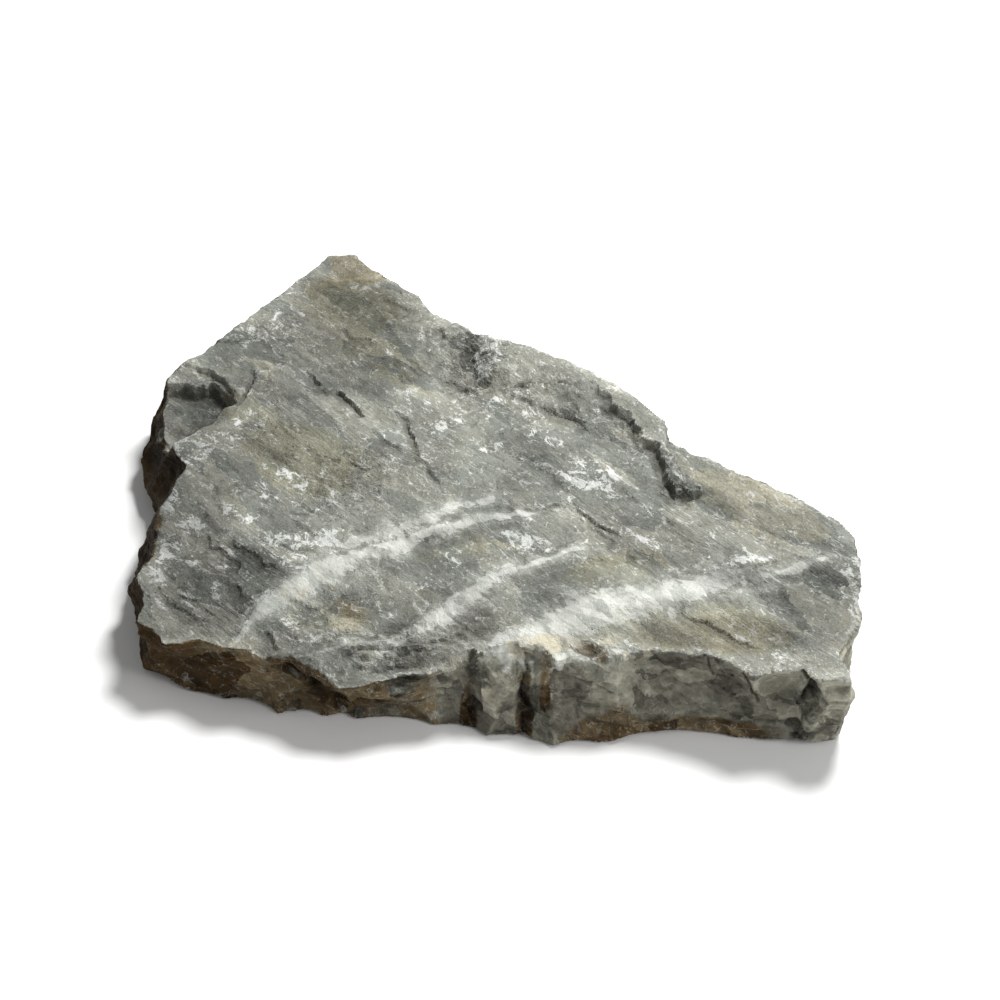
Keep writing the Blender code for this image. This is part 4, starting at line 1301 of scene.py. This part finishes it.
# The darker brown on the far left is partly stain and partly painted shade of the side facing away from
# the lamps.
deep_stain_and_shade = (brown - 1.0).most(0.0)
rusty = (layers * 0.3 + plate * 0.3 + broad * 0.4 - deep_stain_and_shade * 0.30).between(0.43, 0.60)
rusty = marble.mix(rusty, DARK_BROWN, BROWN)
patchy = (mottle - 0.5) * 0.6 + (layers - 0.5) * 0.4 + (plate - 0.5) * 0.5
stained = (brown + patchy * wall).between(0.15, 0.60)
colour = marble.mix(stained * 0.94, colour, rusty)
print("sides laid")

# %% [markdown]
# ## The white seams
# Calcite filled old cracks in the marble, milky where it is cloudy and whiter where it is sugary. Its
# border isn't clean: noise eats into the distance from the seam's line, and a faint halo of white
# dust lies outside it. Iron has turned it cream at the nose, with a few brown spots.

# %% White seams
CALCITE = ink(208, 209, 201)
MILKY = ink(188, 191, 182)
CREAM = ink(202, 194, 170)
UMBER_BROWN = ink(104, 88, 64)

edge = seam + (mottle - 0.5) * 1.8 + (scale - 0.5) * 0.5 - 0.06
vein = edge.between(0.05, 0.34)
halo = edge.between(-1.1, 0.3)
sugary = (fill * 0.5 + scale * 0.3 + plate * 0.2).between(0.42, 0.58)
calcite = marble.mix(ochre * 0.9, marble.mix(sugary, MILKY, CALCITE), CREAM)
vein_share = vein * (1.0 - stained * 0.7) * (edge.between(0.1, 0.8) * 0.26 + 0.64)
colour = marble.mix(halo * top_only * 0.38, colour, MILKY)
colour = marble.mix(vein_share, colour, calcite)
umber = (marble.noted("umber") + (mottle - 0.5) * 1.5).between(0.25, 0.85)
colour = marble.mix(umber * 0.75, colour, UMBER_BROWN)
print("seams laid")

# %% [markdown]
# ## Crushed flecks and threads
# Wherever marble is knocked or scratched it is crushed white: in crusts on bruised ground, in specks,
# in threads along the edges of the thin plates, in scratches with the cleavage, and along every worn
# ridge, where the white is partly a painted highlight. They are thresholds of the same few noises, so
# that they gather where the stone is bruised.

# %% Crushed white flecks, specks and threads
FLECK = ink(216, 218, 213)
DULL_FLECK = ink(150, 149, 140)

exposed = 1.0 - (wall * 0.8).most(stained * 0.8)
crusted = (crust + bruise * 0.125 + ridge * 0.02 - crack_shade * 0.1).between(0.640, 0.655)
specks = (crumbs + bruise * 0.09 + (broad - 0.5) * 0.20).between(0.695, 0.715)
laced = (crust + bruise * 0.08 + wall * 0.03).between(0.52, 0.57)
lace = (1.0 - scale_edge.between(0.08, 0.28)) * laced
outline = (1.0 - plate_edge.between(0.10, 0.40)) * crumbs.between(0.50, 0.56)
threads = lace.most(outline * 0.8) * (0.50 - stained * 0.05 - deep_stain_and_shade * 0.40)
scratched = (lined * 0.7).most(broad.between(0.44, 0.56))
scratches = marble.noise(hairy, 0.9, 1.0, 0.5).between(0.61, 0.67) * scratched
# Along the ridges: crushed white wear, partly a painted highlight on every ridge.
worn_and_highlit = (ridge + (crumbs - 0.5) * 3.0 + bruise * 0.3).between(0.95, 1.30)
rim_white = marble.mix(wall, FLECK, DULL_FLECK)
colour = marble.mix(threads, colour, rim_white)
colour = marble.mix(scratches * exposed * 0.27, colour, FLECK)
colour = marble.mix(worn_and_highlit * (1.0 - stained * 0.5) * 0.32, colour, rim_white)
colour = marble.mix(crusted * exposed * (fill.between(0.35, 0.50) * 0.3 + 0.65), colour, FLECK)
colour = marble.mix(specks * exposed * 0.75, colour, FLECK)
print("flecks laid")

# %% [markdown]
# ## Painted light and shade, tone, and relief
# Last of all the colour is made lighter or darker: by the broad tones and the painted light and shade
# noted on the mesh, by a tone for each chip and splinter, and by the grain. Painted shade darkens the
# hollows and cracks. What is finer than the mesh, under about a millimetre, is left to a bump made from
# the same patterns.

# %% Painted shade and tone
# Painted shade: the hollows of the relief, the feet of the ledges and the crevices are darkened.
hollows = 1.0 - (ridge * 0.9 + swelling * 0.25 + (crumbs - 0.5) * 1.2 + 1.0)
shaded_cracks = (crack_shade + (crumbs - 0.5) * 0.8).between(0.50, 0.80)
painted_shade = (hollows.between(0.20, 0.70) * 0.28).most(shaded_cracks * 0.70)
colour = marble.mix(painted_shade * (1.0 - vein * 0.6), colour, PIT_AND_SHADE_DARK)
tone = marble.noted("shade") * 0.38 + marble.noted("facet") * 0.28 + 1.0
tone = tone + (plate - 0.5) * (wall * 0.30 + 0.32) + (scale - 0.5) * (wall * 0.30 + 0.18)
tone = tone + (grains - 0.5) * (0.46 - vein * 0.30) + (creases - 0.5) * (grit * 0.30 + 0.12)
colour = marble.scaled(colour, tone)
print("tones laid")

# %% Relief too fine for the mesh
BUMP_STRENGTH = 0.9
DULL = 0.76  # roughness of the split stone; calcite is a little glossier
SHINE = 0.12

relief = lines * (lined * 0.5 + 0.12) * top_only + layers * wall * 0.35
relief = relief + marble.noise(place, 4.0, 3.0, 0.7) * (grit * 1.6 + 1.0) + grains * 0.30
relief = relief + crumbs * (grit * 0.6 + 0.2) - pits * 0.3
relief = relief + creases * (grit * 0.8 + wall * 0.6 + 0.5) + plate * (wall * 0.8 + 0.8)
relief = relief + vein * 0.4 - dark_lines * 0.25
sockets = {"Strength": BUMP_STRENGTH, "Distance": MM, "Height": relief}
bump = marble.field("Normal", "ShaderNodeBump", None, sockets)
marble.join(bump, marble.shader.inputs["Normal"])
marble.join(colour, marble.shader.inputs["Base Color"])
marble.join(DULL - vein * 0.16 + stained * 0.04, marble.shader.inputs["Roughness"])
marble.join(SHINE, marble.shader.inputs["Specular IOR Level"])
skin.materials.clear()
skin.materials.append(marble.material)
print("nodes in the finish:", len(marble.tree.nodes))

# %% [markdown]
# ## Join the frame
# The stone is one piece. It rides on the only body there is, and stands for the plain solid. Smooth
# shading is cut off at sharp arrises, because a broken stone isn't smooth anywhere.

# %% Ride and replace
SHARP = math.radians(20)

skin.shade_smooth()
skin.set_sharp_from_angle(angle=SHARP)
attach(slab, "root")
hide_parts(NODE)
print("piece:", slab.name)

# %% [markdown]
# ## Floor, light and camera
# A pale floor runs out of sight. One soft lamp stands behind and to the right, high up, a weaker one
# lower on the right lights the fresh break, and the sky gives the rest: so the top is bright, and the
# broken faces towards the camera stay dark.

# %% Floor and sky
FLOOR_REACH = 6.0
PAPER_WHITE = ink(250, 250, 249)
SKY_LIGHT = 0.26

studio = bpy.context.scene
studio.view_settings.view_transform = "Standard"
ground = bmesh.new()
bmesh.ops.create_grid(ground, x_segments=1, y_segments=1, size=FLOOR_REACH)
floor_mesh = bpy.data.meshes.new("studio_floor")
ground.to_mesh(floor_mesh)
ground.free()
floor = bpy.data.objects.new("studio_floor", floor_mesh)
studio.collection.objects.link(floor)
paper = Finish("pale_paper")
paper.join(PAPER_WHITE, paper.shader.inputs["Base Color"])
paper.join(0.9, paper.shader.inputs["Roughness"])
floor_mesh.materials.append(paper.material)

sky = bpy.data.worlds.new("soft_sky")
sky.use_nodes = True
backdrop = sky.node_tree.nodes["Background"]
backdrop.inputs["Color"].default_value = (1.0, 1.0, 1.0, 1.0)
backdrop.inputs["Strength"].default_value = SKY_LIGHT
studio.world = sky
print("floor and sky ready")

# %% Lamps
# Each lamp: name, where it stands, the width of its disc in metres, and its watts.
LAMPS = (
    ("key", (0.48, 0.58, 1.30), 0.45, 29.5),
    ("fill", (1.50, -0.70, 0.75), 0.9, 14.0),
)
LIT = Vector((0.0, 0.0, 0.03))  # the middle of the stone, where both lamps aim

for name, stand, width, watts in LAMPS:
    lamp = bpy.data.lights.new(name, "AREA")
    lamp.shape = "DISK"
    lamp.size = width
    lamp.energy = watts
    holder = bpy.data.objects.new(name, lamp)
    holder.location = stand
    holder.rotation_euler = (LIT - Vector(stand)).to_track_quat("-Z", "Y").to_euler()
    studio.collection.objects.link(holder)
print(len(LAMPS), "lamps ready")

# %% Camera
LENS, SENSOR = 85.0, 36.0
ELEVATION = math.radians(42.0)
DISTANCE = 1.362
AIM = Vector((-CENTRE[0] * MM, -CENTRE[1] * MM, 0.030))

eye = bpy.data.cameras.new("camera")
eye.lens = LENS
eye.sensor_width = SENSOR
camera = bpy.data.objects.new("camera", eye)
camera.location = AIM + DISTANCE * Vector((0.0, -math.cos(ELEVATION), math.sin(ELEVATION)))
camera.rotation_euler = (math.radians(90.0) - ELEVATION, 0.0, 0.0)
studio.collection.objects.link(camera)
studio.camera = camera
print("camera at", tuple(round(c, 3) for c in camera.location))
